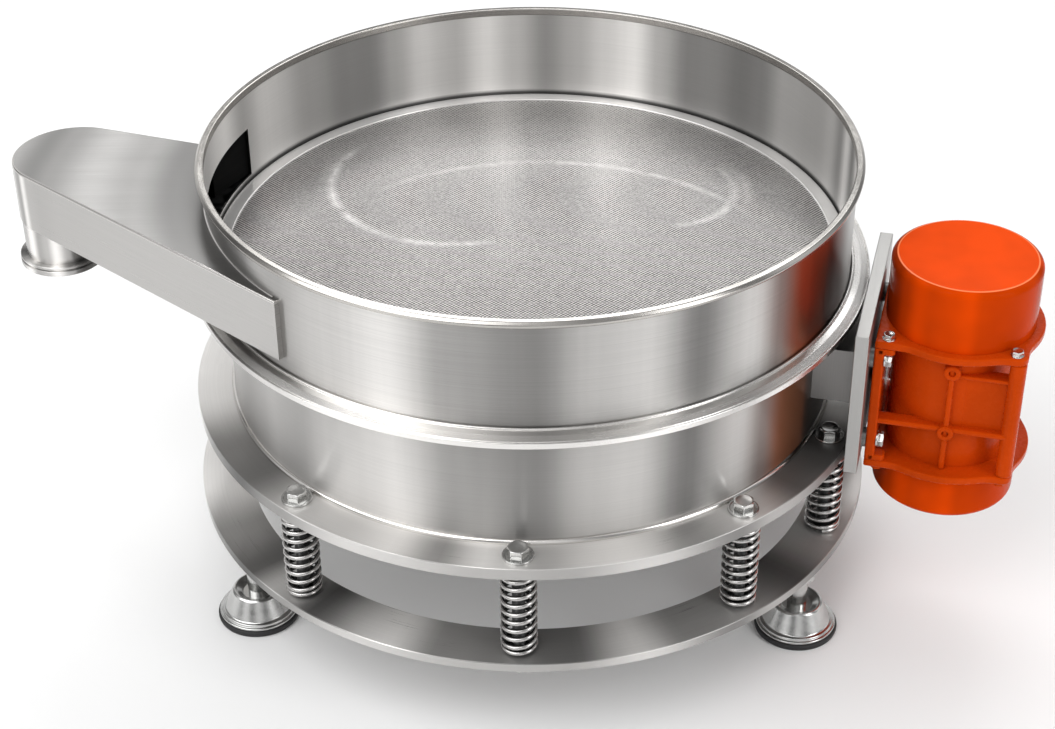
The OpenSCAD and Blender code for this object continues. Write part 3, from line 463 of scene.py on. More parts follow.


# enamel over cast or pressed metal, with a faint orange peel; its sides below a height can carry painted
# highlight bands, and a painted highlight, a thin light line, can run round a middle, above a height
def enamel(name, colour, rough=0.22, peel=170.0, depth=0.0003, gloss=0.22, sides=None, line=None):
    bench = newBench(name)
    place, xyz = bench.place()
    fine = bench.noise(place, peel, 3.0)
    paint = grained(bench, bench.noise(place, 14.0, 2.0), colour, 0.86, 1.0)
    # painted highlights: bands of light and dark round the sides
    if sides:
        level = bench.paintedLightBands(xyz, sides["paintedBands"], 1.0, sides["middle"])
        flat = bench.above(xyz["Z"], sides["below"])
        paint = bench.blend(1.0, paint, bench.blend(flat, level, (1.0, 1.0, 1.0)), "MULTIPLY")
    # painted highlight: a thin light line where the edge rounds over
    if line:
        edge = bench.hill(bench.awayFrom(xyz, line["middle"])[2], line["radius"], line["width"])
        edge = bench.times(edge, bench.above(xyz["Z"], line["above"]))
        paint = bench.blend(bench.times(edge, line["level"]), paint, line["colour"])
    bench.shade({"Base Color": paint, "Roughness": bench.spread(fine, rough * 0.8, rough * 1.25),
                 "Specular IOR Level": gloss, "Specular Tint": (1.0, 0.25, 0.04),
                 "Coat Weight": 0.02, "Coat Roughness": 0.06})
    bench.bump(fine, 0.12, depth)
    return bench.owner


# woven wire: two sets of wires cross, and each crossing swaps which one is on top; pale scuffs lie on it in
# arcs, each with its middle and radius in millimetres, the way it faces and its half width in degrees, and
# soft pale painted reflections run back across it, by their middle and half width along x in millimetres
weave = dict(pitch=5.2, dark=(0.02, 0.019, 0.018), light=(0.58, 0.565, 0.55), rough=0.36,
             scuff=(0.85, 0.84, 0.82))
scuffs = [
    dict(middle=(-92, 145), radius=162, facing=215, half=78, width=9, level=0.55),
    dict(middle=(-92, 145), radius=172, facing=170, half=30, width=12, level=0.3),
    dict(middle=(7, -129), radius=321, facing=80, half=50, width=8, level=0.42),
    dict(middle=(170, 114), radius=93, facing=-24, half=64, width=9, level=0.55),
    dict(middle=(175, 110), radius=104, facing=10, half=40, width=12, level=0.25),
]
paintedSheens = [dict(x=-32, width=34, level=0.12), dict(x=95, width=40, level=0.12)]


# one scuff: 1 on the arc, falling to 0 at its width and at its ends
def arcLine(bench, xyz, scuff):
    dx, dy, away = bench.awayFrom(xyz, [v / 1000 for v in scuff["middle"]])
    line = bench.hill(away, scuff["radius"] / 1000, scuff["width"] / 1000)
    c, s = (float(v) for v in unit(radians(scuff["facing"])))
    ahead = bench.over(bench.plus(bench.times(dx, c), bench.times(dy, s)), away)
    ahead = bench.minus(ahead, float(np.cos(radians(scuff["half"]))))
    ends = bench.clamp(bench.times(ahead, 4.0), 1.0)
    return bench.times(bench.times(line, ends), scuff["level"])


def wovenMesh(name):
    bench = newBench(name)
    place, xyz = bench.place()
    waves = [bench.math("SINE", bench.times(xyz[way], 2 * np.pi / (weave["pitch"] / 1000))) for way in "XY"]
    patches = bench.noise(place, 5.0, 3.0)
    grain = bench.noise(place, 420.0, 2.0)
    height = bench.plus(bench.times(bench.times(*waves), 0.5), bench.times(grain, 0.8))
    shade = bench.plus(bench.times(height, 0.62), bench.times(patches, 0.2))
    # painted light: the mesh grows lighter towards the back
    shade = bench.plus(shade, bench.mapRange(xyz["Y"], -0.37, 0.37, -0.03, 0.15))
    # painted reflections: pale sheens that fade towards the front
    for sheen in paintedSheens:
        glow = bench.times(bench.hill(xyz["X"], sheen["x"] / 1000, sheen["width"] / 1000), sheen["level"])
        fade = bench.clamp(bench.timesPlus(xyz["Y"], 3.0, 0.3), 1.0)
        shade = bench.timesPlus(glow, fade, shade)
    paint = bench.ramp(shade, [(0.18, weave["dark"]), (0.64, weave["light"])])
    marks = 0.0
    for scuff in scuffs:
        marks = bench.plus(arcLine(bench, xyz, scuff), marks)
    wear = bench.spread(bench.noise(place, 34.0, 6.0, 0.75), -0.2, 1.5)
    marks = bench.clamp(bench.times(marks, wear), 0.8)
    bench.shade({"Base Color": bench.blend(marks, paint, weave["scuff"]), "Metallic": 0.5,
                 "Roughness": bench.spread(patches, weave["rough"] * 0.9, weave["rough"] * 1.15)})
    bench.bump(height, 0.35, 0.0005)
    return bench.owner


# the spout's sheet: painted reflection bands round its end outside; inside, where the face looks back at
# the end's middle or up from the floor, painted shade makes it dull and near black; the cheek beside the drum
# looks back at a middle of its own
# middles for the painted reflection bands and the inside's painted shade, and the near-black colour of that
# painted shade
trough = dict(pivot=(-0.5657, 0.0775), cheekPastX=-0.3995, cheekPastY=0.09, cheekPivot=(-0.36, 0.06),
              inside=(0.012, 0.012, 0.012))


def troughSteel(name):
    bench = newBench(name)
    place, xyz = bench.place()
    face = bench.place("Normal")[1]
    near = bench.times(bench.above(xyz["X"], trough["cheekPastX"]),
                       bench.above(xyz["Y"], trough["cheekPastY"]))
    facing = []
    for way, own, cheek in zip("XY", trough["pivot"], trough["cheekPivot"]):
        middle = bench.timesPlus(near, cheek - own, own)
        facing.append(bench.times(bench.minus(xyz[way], middle), face[way]))
    # painted shade: faces that look back at the middle, or up from the floor, are the dark inside
    inside = bench.most(bench.math("LESS_THAN", bench.plus(*facing), -0.0005),
                        bench.above(face["Z"], 0.5))
    lines, grey = bench.brushLines(place, (3, 3, 900))
    bright = bench.blend(1.0, grey, bench.paintedLightBands(xyz, paintedBands["spout"], 1.0, trough["pivot"]), "MULTIPLY")
    bench.shade({"Base Color": bench.blend(inside, bright, trough["inside"]), "Metallic": 1.0,
                 "Roughness": bench.plus(bench.spread(lines, 0.26, 0.36), bench.times(inside, 0.4)),
                 "Anisotropic": 0.8, "Tangent": bench.vector(Z=1.0)})
    bench.bump(lines, 0.3, 0.00004)
    return bench.owner


# the spout's cover: brushed along x, with painted light and shade by its distance from the drum's axis in
# metres
lid = dict(reach=0.7, tint=(1.0, 0.985, 0.965),
           levels={0.39: 0.22, 0.43: 0.28, 0.48: 0.5, 0.535: 0.72, 0.585: 0.5, 0.61: 0.4, 0.65: 0.7})


def lidSteel(name):
    bench = newBench(name)
    place, xyz = bench.place()
    lines, grey = bench.brushLines(place, (5, 500, 500))
    share = bench.over(bench.awayFrom(xyz, (0.0, 0.0))[2], lid["reach"])
    stops = [(away / lid["reach"], tuple(v * c for c in lid["tint"])) for away, v in lid["levels"].items()]
    level = bench.ramp(share, stops, "EASE")
    bench.shade({"Base Color": bench.blend(1.0, grey, level, "MULTIPLY"), "Metallic": 1.0,
                 "Roughness": bench.spread(lines, 0.28, 0.4)})
    bench.bump(lines, 0.3, 0.00004)
    return bench.owner


white = (1, 1, 1)
plateLook = dict(colour=(0.98, 0.98, 0.98), rough=0.32, stretch=0.85, grain="ring", tone=0.08, metal=0.6,
                 edgeBanding=paintedBands["edge"])
steels = dict(
    satinWall=dict(colour=(0.96, 0.96, 0.96), rough=0.32, stretch=0.9, tone=0.16, banding=paintedBands["wall"]),
    rimSteel=dict(colour=(0.6, 0.59, 0.575), rough=0.22, stretch=0.3, tone=0.08, banding=paintedBands["edge"],
                  depth=0.8, lift=0.3),
    # the lower drum: a lighter, partly diffuse copy of the wall's steel, as painted light against the shade
    # of the deck and band
    lowerWall=dict(colour=white, rough=0.34, stretch=0.9, tone=0.14, banding=paintedBands["wall"], metal=0.6),
    pipeSteel=dict(colour=white, rough=0.24, stretch=0.7, tone=0.04, banding=paintedBands["pipe"],
                   pivot=tuple((spoutPipeMid / 1000).tolist()), metal=0.7),
    # the inside wall: a lighter copy of the wall's steel, with painted reflection bands of its own and a line
    # of painted shade just above the screen frame
    insideWall=dict(colour=white, rough=0.34, stretch=0.85, tone=0.1, banding=paintedBands["inside"], metal=0.4,
                    footShade=((zFrameTop + 2.0) / 1000, (zFrameTop + 7.0) / 1000, 0.12, 1.0)),
    coneSteel=dict(colour=(0.24, 0.235, 0.23), rough=0.4, stretch=0.6, tone=0.05),
    bandSteel=dict(colour=white, rough=0.26, stretch=0.6, tone=0.02, banding=paintedBands["edge"], depth=0.9,
                   lift=0.32),
    ringPlate=dict(plateLook, banding=paintedBands["deck"], topZ=(zDeck - 1.0) / 1000),
    basePlate=dict(plateLook, banding=paintedBands["base"], topZ=(zBaseTop - 1.0) / 1000),
    polishedWall=dict(colour=(0.74, 0.72, 0.7), rough=0.15, stretch=0.5, tone=0.03),
    frameSteel=dict(colour=(0.9, 0.885, 0.87), rough=0.2, stretch=0.4, tone=0.05, metal=0.55),
    plateSteel=dict(colour=(0.42, 0.415, 0.405), rough=0.34, stretch=0.5, grain="flat", tone=0.05),
    bracketSteel=dict(colour=(0.22, 0.215, 0.21), rough=0.4, stretch=0.4, grain="flat", tone=0.08),
)
# the wire's inner side and the rods inside the springs take dark copies of bright steel, as painted shade
metals = dict(
    brightBolt=((0.66, 0.66, 0.65), 0.2), washerSteel=((0.55, 0.55, 0.54), 0.22),
    springWire=((0.55, 0.54, 0.53), 0.24), shadedWire=((0.05, 0.05, 0.05), 0.4),
    shadedThread=((0.09, 0.09, 0.09), 0.34), footMetal=((0.6, 0.6, 0.59), 0.2),
    castGrey=((0.2, 0.2, 0.2), 0.55),
)
rubbers = dict(blackRubber=((0.016, 0.016, 0.017), 0.6), paleGasket=((0.55, 0.54, 0.51), 0.45),
               blackPlastic=((0.02, 0.02, 0.021), 0.4))
motorMiddle = tuple((motorR * unit(motorAngle) / 1000).tolist())
enamels = dict(
    # the cap: painted highlight bands on its sides and a painted highlight line round its top edge
    orangeCap=dict(colour=(0.8, 0.066, 0.001), rough=0.16, gloss=0.03,
                   sides=dict(paintedBands=paintedBands["cap"], middle=motorMiddle, below=0.4494),
                   line=dict(middle=motorMiddle, radius=0.0815, width=0.0014, above=0.44, level=0.75,
                             colour=(1.0, 0.36, 0.16))),
    orangeCast=dict(colour=(0.55, 0.052, 0.002), rough=0.26, gloss=0.15, peel=120.0, depth=0.0006),
    windings=dict(colour=(0.3, 0.1, 0.03), rough=0.4),
)
paints = {name: brushedSteel(name, **values) for name, values in steels.items()}
paints.update({name: brightMetal(name, *values) for name, values in metals.items()})
paints.update({name: mattRubber(name, *values) for name, values in rubbers.items()})
paints.update({name: enamel(name, **values) for name, values in enamels.items()})
paints.update(troughSheet=troughSteel("troughSheet"), satinFlat=lidSteel("satinFlat"),
              wovenMesh=wovenMesh("wovenMesh"))
print("materials made:", len(paints))

# the spring collars take the same dark steel as the rods inside the springs, as painted shade
paintOfNode = dict(spout_trough="troughSheet", motor_bracket="bracketSteel", motor_spacers="bracketSteel",
                   spring_collars="shadedThread", stop_washers="washerSteel")
paintOfSlot = dict(
    polished_steel="polishedWall", satin_steel="satinWall", woven_mesh="wovenMesh", white_rubber="paleGasket",
    brushed_plate="plateSteel", bright_bolts="brightBolt", spring_steel="springWire", foot_metal="footMetal",
    black_rubber="blackRubber", orange_paint="orangeCap", orange_housing="orangeCast",
    black_plastic="blackPlastic", stator_core="windings", machined_steel="footMetal", cast_weights="castGrey",
)
for subpart in frame["record"]["subparts"]:
    materials = nodes[subpart["node"]].data.materials
    if not materials:
        materials.append(None)
    for k in range(len(materials)):
        materials[k] = paints[paintOfNode.get(subpart["node"], paintOfSlot[subpart["material_slot"]])]

sharpAngle = radians(40.0)


# one piece from a shape in millimetres; a second paint goes on the faces that its marks name
def addPiece(name, shape, paint, replaced=(), body="deck", second=None):
    points, faces, caps = shape
    mesh = bpy.data.meshes.new(name)
    mesh.from_pydata((np.asarray(points) / 1000).tolist(), [], np.asarray(faces).tolist() + list(caps))
    mesh.materials.append(paints[paint])
    if second:
        mesh.materials.append(paints[second[0]])
        marks = np.zeros(len(mesh.polygons), np.int32)
        marks[:len(second[1])] = second[1]
        mesh.polygons.foreach_set("material_index", marks)
    mesh.validate()
    mesh.shade_smooth()
    mesh.set_sharp_from_angle(angle=sharpAngle)
    piece = bpy.data.objects.new(name, mesh)
    bpy.context.scene.collection.objects.link(piece)
    if body:
        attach(piece, body)
    if replaced:
        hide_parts(*replaced)
    return piece


drum = dict(radius=392.0, sheet=2.5, flange=2.5, bevel=0.4, segments=288, windowStart=156.5, windowEnd=218.0,
            sill=2.5, head=8.5, rimHeight=9.0, seat=0.01)
drumIn = drum["radius"] - drum["sheet"]
zRimLow = zRim - drum["rimHeight"]
rimProfile = roundCorners([
    [drumIn, zRimLow, 1.0], [drum["radius"] + 1.5, zRimLow, 0.8], [rimR - 0.5, zRimLow + 1, 3.2],
    [rimR, zRim - 3.6, 2.6], [rimR - 3.2, zRim, 2.2], [drumIn, zRim, 1.4]], 5)
addPiece("rimRoll", turnedShape(rimProfile, drum["segments"]), "rimSteel", ["rim_ring"])


# wall of the upper drum: a turned profile with the cells of the window left out and its edges closed
def upperDrumShape():
    zLow, zHigh, zFlange = zUpperLow, zRimLow + drum["seat"], zUpperLow + drum["flange"]
    sill, head = zSpout + drum["sill"], zSpoutTop - drum["head"]
    a, b = radians(drum["windowStart"]), radians(drum["windowEnd"])
    angles = np.unique(np.concatenate([np.linspace(a, b, 60), np.linspace(b, a + 2 * np.pi, 230)[:-1]]))
    r, e = drum["radius"], drum["bevel"]
    profile = np.array([
        [drumIn, zLow], [flangeR - e, zLow], [flangeR, zLow + e], [flangeR, zFlange - e],
        [flangeR - e, zFlange], [r + 2.5, zFlange], [r + 0.8, zFlange + 0.8], [r, zFlange + 2.5],
        [r, sill], [r, head], [r, zHigh], [drumIn, zHigh], [drumIn, head], [drumIn, sill]])
    outSill, outHead, inTop, inHead, inSill = 8, 9, 11, 12, 13
    points, faces, _ = gridShape(spin(*profile.T, angles), True, True)
    m = len(profile)
    row, col = faces[:, 0] // m, faces[:, 0] % m
    window = (angles[row] >= a - 1e-6) & (angles[row] < b - 1e-6) & ((col == outSill) | (col == inHead))
    faces = faces[~window]
    rows = np.nonzero((angles >= a - 1e-6) & (angles <= b + 1e-6))[0] * m
    i, j, s, e = rows[:-1], rows[1:], rows[0], rows[-1]
    under = np.stack([i + outSill, j + outSill, j + inSill, i + inSill], -1)
    over = np.stack([i + inHead, j + inHead, j + outHead, i + outHead], -1)
    jambs = np.array([[s + outSill, s + inSill, s + inHead, s + outHead],
                      [e + outSill, e + outHead, e + inHead, e + inSill]])
    marks = (faces[:, 0] % m >= inTop).astype(np.int32)
    return (points, np.concatenate([faces, under, over, jambs]), []), marks


upperShape, upperMarks = upperDrumShape()
addPiece("upperDrumWall", upperShape, "satinWall", ["upper_drum"],
         second=("insideWall", upperMarks))

lower = dict(radius=377.0, sheet=2.5, bead=4.6, beadSteps=12, lift=1.4, foot=3.6, segments=360, seat=0.02)


# lower drum with its smooth weld bead: a quarter circle and more, standing a little proud of the wall
def lowerDrumShape():
    r, top, low, q = lower["radius"], zLowerTop, zDeck + lower["seat"], lower["bead"]
    t = np.linspace(-0.25, np.pi * 0.62, lower["beadSteps"])
    bead = np.column_stack([np.maximum(r + q * np.cos(t), r),
                            np.maximum(low + lower["lift"] + q * np.sin(t), low)])
    under, e = top - drum["flange"], drum["bevel"]
    profile = np.concatenate([
        [[r - lower["sheet"], low], [r + lower["foot"], low]], bead, [[r + 0.02, bead[-1, 1] + 0.2]],
        [[r, under - 3], [r + 0.9, under - 0.9], [r + 3, under], [flangeR - e, under],
         [flangeR, under + e], [flangeR, top - e], [flangeR - e, top], [r - lower["sheet"], top]]])
    column = np.tile(np.arange(len(profile)), lower["segments"])
    marks = ((column >= 1) & (column <= 1 + lower["beadSteps"])).astype(np.int32)
    return turnedShape(profile, lower["segments"]), marks


lowerShape, lowerMarks = lowerDrumShape()
addPiece("lowerDrumWall", lowerShape, "lowerWall", ["lower_drum"],
         second=("polishedWall", lowerMarks))

# screen: pressed frame ring and the woven disc
screen = dict(inner=370.0, outer=388.5, sheet=2.5, disc=373.7, segments=192)
zSheet, frameIn, frameOut = zScreen + screen["sheet"], screen["inner"], screen["outer"]
frameProfile = roundCorners([
    [frameIn, zFrameTop - 2.5, 0.6], [374.0, zFrameTop - 2.6, 0.1], [374.2, zScreen + 4, 0.5],
    [384.5, zScreen + 3.0, 0.5], [384.6, zScreen, 0.5], [flangeR, zScreen, 0.6], [flangeR, zSheet, 0.6],
    [frameOut, zSheet, 0.8], [frameOut, zFrameTop, 2.0], [frameIn, zFrameTop, 1.2]], 4)
addPiece("screenRing", turnedShape(frameProfile, drum["segments"]), "frameSteel",
         ["screen_frame"])


# thin disc: rings of points from a small middle to the edge and back, closed by caps in the middle
def discShape(radius, low, high):
    radii = np.array([0.5, radius * 0.5, radius])
    profile = np.column_stack([np.concatenate([radii, radii[::-1]]), np.repeat([low, high], 3)])
    return turnedShape(profile, screen["segments"], closed=False)


addPiece("wovenScreen", discShape(screen["disc"], *zSpan("screen_mesh")), "wovenMesh",
         ["screen_mesh"])

band = dict(sheet=2.2, face=5.0, mouth=19.0, inner=393.8, splitAngle=100.0, split=14.0, splitGap=0.4,
            lugLength=25.9, lug=6.0, lugSet=1.5, bead=2.8, crown=0.9, outerBead=2.4, segments=289)
bandMid = sum(zSpan("clamp_band")) / 2


# V-shaped clamp band, open where its lugs stand, each end closed: a limb slopes out from each mouth, with a
# rolled bead beside the drum and a second one along its outer edge
def bandShape():
    r, q, f, h, t = bandR, band["inner"], band["face"] / 2, band["mouth"] / 2, band["sheet"]
    slope = (h - f) / (r - q)
    limb = t * np.sqrt(1 + slope * slope)
    back = f + slope * t - limb
    b, o = band["bead"], band["outerBead"]
    upper = np.array([
        [q, h + 0.6, 1.1], [q + b, h + 0.6, 1.1], [q + b + 0.4, h - 1.9, 0.35], [q + b + 1.4, h - 1.5, 0.5],
        [(q + r) / 2, (h + f) / 2 + band["crown"], 9.0], [r - o - 0.9, f + 1.5, 0.5],
        [r - o - 0.2, f + 0.2, 0.35], [r - o + 0.4, f + 1.5, 0.9], [r, f + 1.3, 1.1]])
    deep = r - t - 1.2
    inner = np.array([[q, limb - h, 0.3], [deep, -back, 0.4], [deep, back, 0.4], [q, h - limb, 0.3]])
    corners = np.concatenate([upper, upper[::-1] * [1, -1, 1], inner])[::-1]
    profile = roundCorners(corners, 4, 0.05) + [0, bandMid]
    half = np.arcsin((band["split"] / 2 + band["splitGap"]) / r)
    start = radians(band["splitAngle"])
    angles = np.linspace(start + half, start + 2 * np.pi - half, band["segments"])
    return gridShape(spin(*profile.T, angles), wrapCols=True)


def bandLugs():
    shapes = []
    for side in (-1, 1):
        y = sorted([side * band["split"] / 2, side * (band["split"] / 2 + band["lug"])])
        low = [bandR - band["lugSet"], y[0], bandMid - band["mouth"] / 2]
        high = [bandR - band["sheet"] + band["lugLength"], y[1], bandMid + band["mouth"] / 2]
        shapes.append(moved(boxShape(low, high, 1.2, 2.5), turnZ(radians(band["splitAngle"]))))
    return shapes


addPiece("clampRing", joinShapes([bandShape()] + bandLugs()), "bandSteel", ["clamp_band"])
print("drum and band made")

plates = dict(deckHole=350.0, baseHole=368.0, edge=1.2, chord=416.5)


# flat ring whose outer radius at angle a is the smaller of its own and the chord's, chord / cos(a - motor)
def deckShape():
    reach, inner, e = np.arccos(plates["chord"] / deckR), plates["deckHole"], plates["edge"]
    nearTurn = np.linspace(motorAngle - reach, motorAngle + reach, 25)
    farTurn = np.linspace(motorAngle + reach, motorAngle - reach + 2 * np.pi, 280)[:-1]
    angles = np.unique(np.concatenate([nearTurn, farTurn]))
    near = np.abs(angles - motorAngle) <= reach + 1e-9
    rOut = np.where(near, plates["chord"] / np.cos(angles - motorAngle), deckR)
    r, z = ringProfile(inner, deckR, zDeckLow, zDeck, e, e, 4).T
    radii = np.where(r > (inner + deckR) / 2, r - deckR + rOut[:, None], r)
    return gridShape(spin(radii, z, angles), True, True)


addPiece("deckDisc", deckShape(), "ringPlate", ["deck_plate"])
baseProfile = ringProfile(plates["baseHole"], baseR, zBase, zBaseTop, plates["edge"], plates["edge"], 4)
addPiece("baseDisc", turnedShape(baseProfile, drum["segments"]), "basePlate", ["base_ring"],
         "base")

cone = dict(top=347.5, rim=26.0, height=120.0, neck=6.0, outlet=76.2, wall=2.0, sheet=2.5)
zNeck = zDeck - cone["height"]
coneRim, coneIn = cone["top"] + cone["rim"], cone["outlet"] - cone["wall"]
coneProfile = roundCorners([
    [cone["top"], zDeck, 2.0], [coneRim, zDeck, 0.3], [coneRim, zDeck + cone["sheet"], 0.6],
    [cone["top"] - cone["sheet"], zDeck + cone["sheet"], 3.0], [coneIn, zNeck + 2.8, 3.0],
    [coneIn, zNeck - cone["neck"], 0.3], [cone["outlet"], zNeck - cone["neck"], 0.3],
    [cone["outlet"], zNeck, 3.0]], 4)
addPiece("coneShell", turnedShape(coneProfile, 192), "coneSteel", ["discharge_cone"])


# clamp ferrule: a flange with a groove, sloping back to its tube
def ferruleProfile(outer, wall, low):
    out = outer + 8.5
    return roundCorners([
        [outer - wall, low, 0.8], [out, low, 1.4], [out, low + 6.9, 1.2], [out - 3, low + 7.3, 0.4],
        [out - 3, low + 8.9, 0.4], [out, low + 9.3, 1.0], [out - 0.4, low + ferruleHeight, 1.6],
        [outer - wall, low + ferruleHeight, 0.4]], 4)


ferruleHeight = 13.0
tubeWall = 2.0
tubes = [
    dict(side="outlet", outer=76.2, segments=128, pipe="satinWall", collar="polishedWall", middle=(0, 0),
         high=highOf("outlet_tube")[2]),
    dict(side="spout", outer=44.45, segments=96, pipe="pipeSteel", collar="pipeSteel", middle=spoutPipeMid,
         high=zSpout),
]
for tube in tubes:
    side, outer = tube["side"], tube["outer"]
    low = lowOf(side + "_ferrule")[2]
    pipe = ringProfile(outer - tubeWall, outer, low + ferruleHeight, tube["high"], 0.3, 0.3, 2)
    collar = ferruleProfile(outer, tubeWall, low)
    pipe, collar = (turnedShape(profile, tube["segments"], tube["middle"]) for profile in (pipe, collar))
    addPiece(side + "Pipe", pipe, tube["pipe"], [side + "_tube"])
    addPiece(side + "Collar", collar, tube["collar"], [side + "_ferrule"])

spout = dict(reach=571.0, angle=172.2, axis=149.0, taper=11.25, end=75.0, stop=26.0, back=150.0, cheek=155.0,
             sheet=2.5, fold=2.6, endSteps=40, wallSteps=60)


# the spout's plan: along the drum's wall, then cheek, back wall, round end and front wall
def spoutOutline():
    r, end = drum["radius"], spout["reach"] * unit(radians(spout["angle"]))
    front, back = radians(spout["axis"] - spout["taper"]), radians(spout["axis"] + spout["taper"])
    frontDir, frontOut = -unit(front), unit(front + np.pi / 2)
    frontFoot = end + spout["end"] * frontOut
    tip = frontFoot - (frontFoot @ frontDir + spout["stop"]) * frontDir
    root = tip - (tip @ frontOut - np.sqrt(r ** 2 - (tip @ frontDir) ** 2)) * frontOut
    knee = end + spout["end"] * unit(back - np.pi / 2) - spout["back"] * unit(back)
    foot = (r + spout["sheet"]) * unit(radians(spout["cheek"]))
    cheekDir = (foot - knee) / np.linalg.norm(foot - knee)
    ahead = foot @ cheekDir
    cheekRoot = foot - (ahead + np.sqrt(max(ahead ** 2 - foot @ foot + r ** 2, 0))) * cheekDir
    arc = end + spout["end"] * unit(np.linspace(front + np.pi / 2, back - np.pi / 2, spout["endSteps"]))
    span = [np.arctan2(p[1], p[0]) % (2 * np.pi) for p in (cheekRoot, root)]
    return np.concatenate([[tip], arc, [knee], r * unit(np.linspace(*span, spout["wallSteps"]))])[::-1]


spoutPlan = spoutOutline()
print("spout's plan made:", len(spoutPlan), "points")


# cover: the plan's outline rises, turns over a small fold and closes flat; the drum's side stays square
def coverShape():
    low, high, fold = zSpoutTop - spout["sheet"], zSpoutTop, spout["fold"]
    t = np.linspace(0, np.pi / 2, 6)
    inset = np.concatenate([[0], fold * (1 - np.cos(t)), [fold + 0.3]])
    z = np.maximum(np.concatenate([[low], high - fold * (1 - np.sin(t)), [high]]), low)
    rings = np.stack(stackRings(spoutPlan, inset, z), 1)
    rings[:spout["wallSteps"], :, :2] = spoutPlan[:spout["wallSteps"], None]
    return gridShape(rings, True)


lidShape = coverShape()
addPiece("spoutLid", lidShape, "satinFlat", ["spout_cover"],
         second=("polishedWall", np.ones(len(lidShape[1]), np.int32)))

seam = dict(radius=1.7, sides=10, out=0.3, up=0.2)


# round seam between the lid and the drum: a small circle carried along the drum's wall
def seamShape():
    line = spoutPlan[1:spout["wallSteps"] - 1]
    turn = np.unwrap(np.arctan2(line[:, 1], line[:, 0]))[::-1]
    profile = seam["radius"] * unit(around(seam["sides"]))
    profile += [drum["radius"] + seam["out"], zSpoutTop + seam["up"]]
    return gridShape(spin(*profile.T, turn), wrapCols=True)


addPiece("spoutSeam", seamShape(), "polishedWall")


# fasteners: hexagon whose radius is cut down towards the top by a chamfer cone, with a shallow recess
def hexHead(across, height, low=0.0, recess=0.5, segments=72):
    apothem = across / 2
    angles = around(segments)
    flat = apothem / np.cos((angles + np.pi / 6) % (np.pi / 3) - np.pi / 6)
    z = np.concatenate([[0, 0.4], np.linspace(height - across * 0.06, height, 9)])
    r = np.minimum(flat[:, None], apothem * 0.99 + (height - z) * 1.7)
    r[:, 0] = np.minimum(flat, apothem * 1.1) - 0.3
    r = np.concatenate([r, np.tile(apothem * np.array([0.84, 0.76, 0.02]), (segments, 1))], 1)
    z = np.concatenate([z, height - recess * np.array([0, 1, 1])]) + low
    return gridShape(spin(r, z, angles), True)


# threaded rod: the radius follows a triangle wave of height against pitch, shifted by one pitch a turn
def threadedRod(radius, low, high, pitch=2.6, depth=1.1, segments=20, perPitch=5):
    z, angles = np.linspace(low, high, int((high - low) / pitch * perPitch)), around(segments)
    phase = (z / pitch - angles[:, None] / (2 * np.pi)) % 1
    r = radius - depth * (1 - np.abs(2 * phase - 1))
    return gridShape(spin(r, z, angles), True)


# washer with a low rim round its edge
def washerShape(inner, outer, low, high, rim):
    return turnedShape(roundCorners([
        [inner, low, 0.2], [outer, low, 0.5], [outer, high, 0.9], [outer - rim, high, 0.5],
        [outer - rim - 0.7, high - 0.9, 0.4], [inner, high - 0.9, 0.2]], 3), 64)


# marks for groups of shapes in one mesh: 0 on the first group's faces, 1 on the next
def partMarks(*groups):
    counts = [sum(len(faces) for _, faces, _ in group) for group in groups]
    return np.repeat(np.arange(len(groups)), counts).astype(np.int32)


bolt = dict(radius=8.0, across=22.4, head=11.4, sunk=1.2, recess=0.6, hole=8.3, washer=18.5, washerT=3.0,
            rimWidth=2.6, spins=[12, -8, 30, 5, 22, -4, 17, 9, 28])
boltEnd, boltSeat = lowOf("spring_bolts")[2], zDeck + bolt["washerT"]
head = hexHead(bolt["across"], bolt["head"], -bolt["sunk"], bolt["recess"])
rod = threadedRod(bolt["radius"], boltEnd, boltSeat - bolt["sunk"])
washer = washerShape(bolt["hole"], bolt["washer"], zDeck, boltSeat, bolt["rimWidth"])
heads = [shiftTo(head, a, springR, boltSeat, radians(turn)) for a, turn in zip(springAngles, bolt["spins"])]
rods = [shiftTo(rod, a, springR) for a in springAngles]
# the rods, which stand inside the springs, take dark steel as painted shade
addPiece("springBolts", joinShapes(heads + rods), "brightBolt", ["spring_bolts"],
         second=("shadedThread", partMarks(heads, rods)))
addPiece("boltRings", joinShapes([shiftTo(washer, a, springR) for a in springAngles]), "washerSteel",
         ["bolt_washers"])

coil = dict(outer=22.0, wire=5.6, turns=10.5, perTurn=36, sides=12, closed=1.15, soften=17, start=-0.6,
            step=1.3, innerFrom=3, innerTo=8)


# spring: wire swept along a helix x = r cos a, y = r sin a, whose end turns close up
def coilShape(low, high):
    rw = coil["wire"] / 2
    rc = coil["outer"] - rw
    t = np.linspace(0, coil["turns"], int(coil["turns"] * coil["perTurn"]) + 1)
    free = high - low - coil["wire"]
    flat, n, rise = coil["closed"], coil["turns"], coil["closed"] * coil["wire"]
    soft = np.interp(t, [0, flat, n - flat, n], [0, rise, free - rise, free])
    kernel = np.hanning(coil["soften"])
    z = np.convolve(np.pad(soft, coil["soften"] // 2, mode="edge"), kernel / kernel.sum(), mode="valid")
    z = low + rw + np.clip(z, 0, free)
    a = 2 * np.pi * t
    path = np.column_stack([rc * unit(a), z])
    out = np.column_stack([unit(a), 0 * a])
    up = unitRows(np.cross(unitRows(np.gradient(path, axis=0)), out))
    b = around(coil["sides"])[None, :, None]
    wire = path[:, None] + rw * (np.cos(b) * out[:, None] - np.sin(b) * up[:, None])
    wire[:, :, 2] = np.clip(wire[:, :, 2], low, high)
    return gridShape(wire, wrapCols=True)


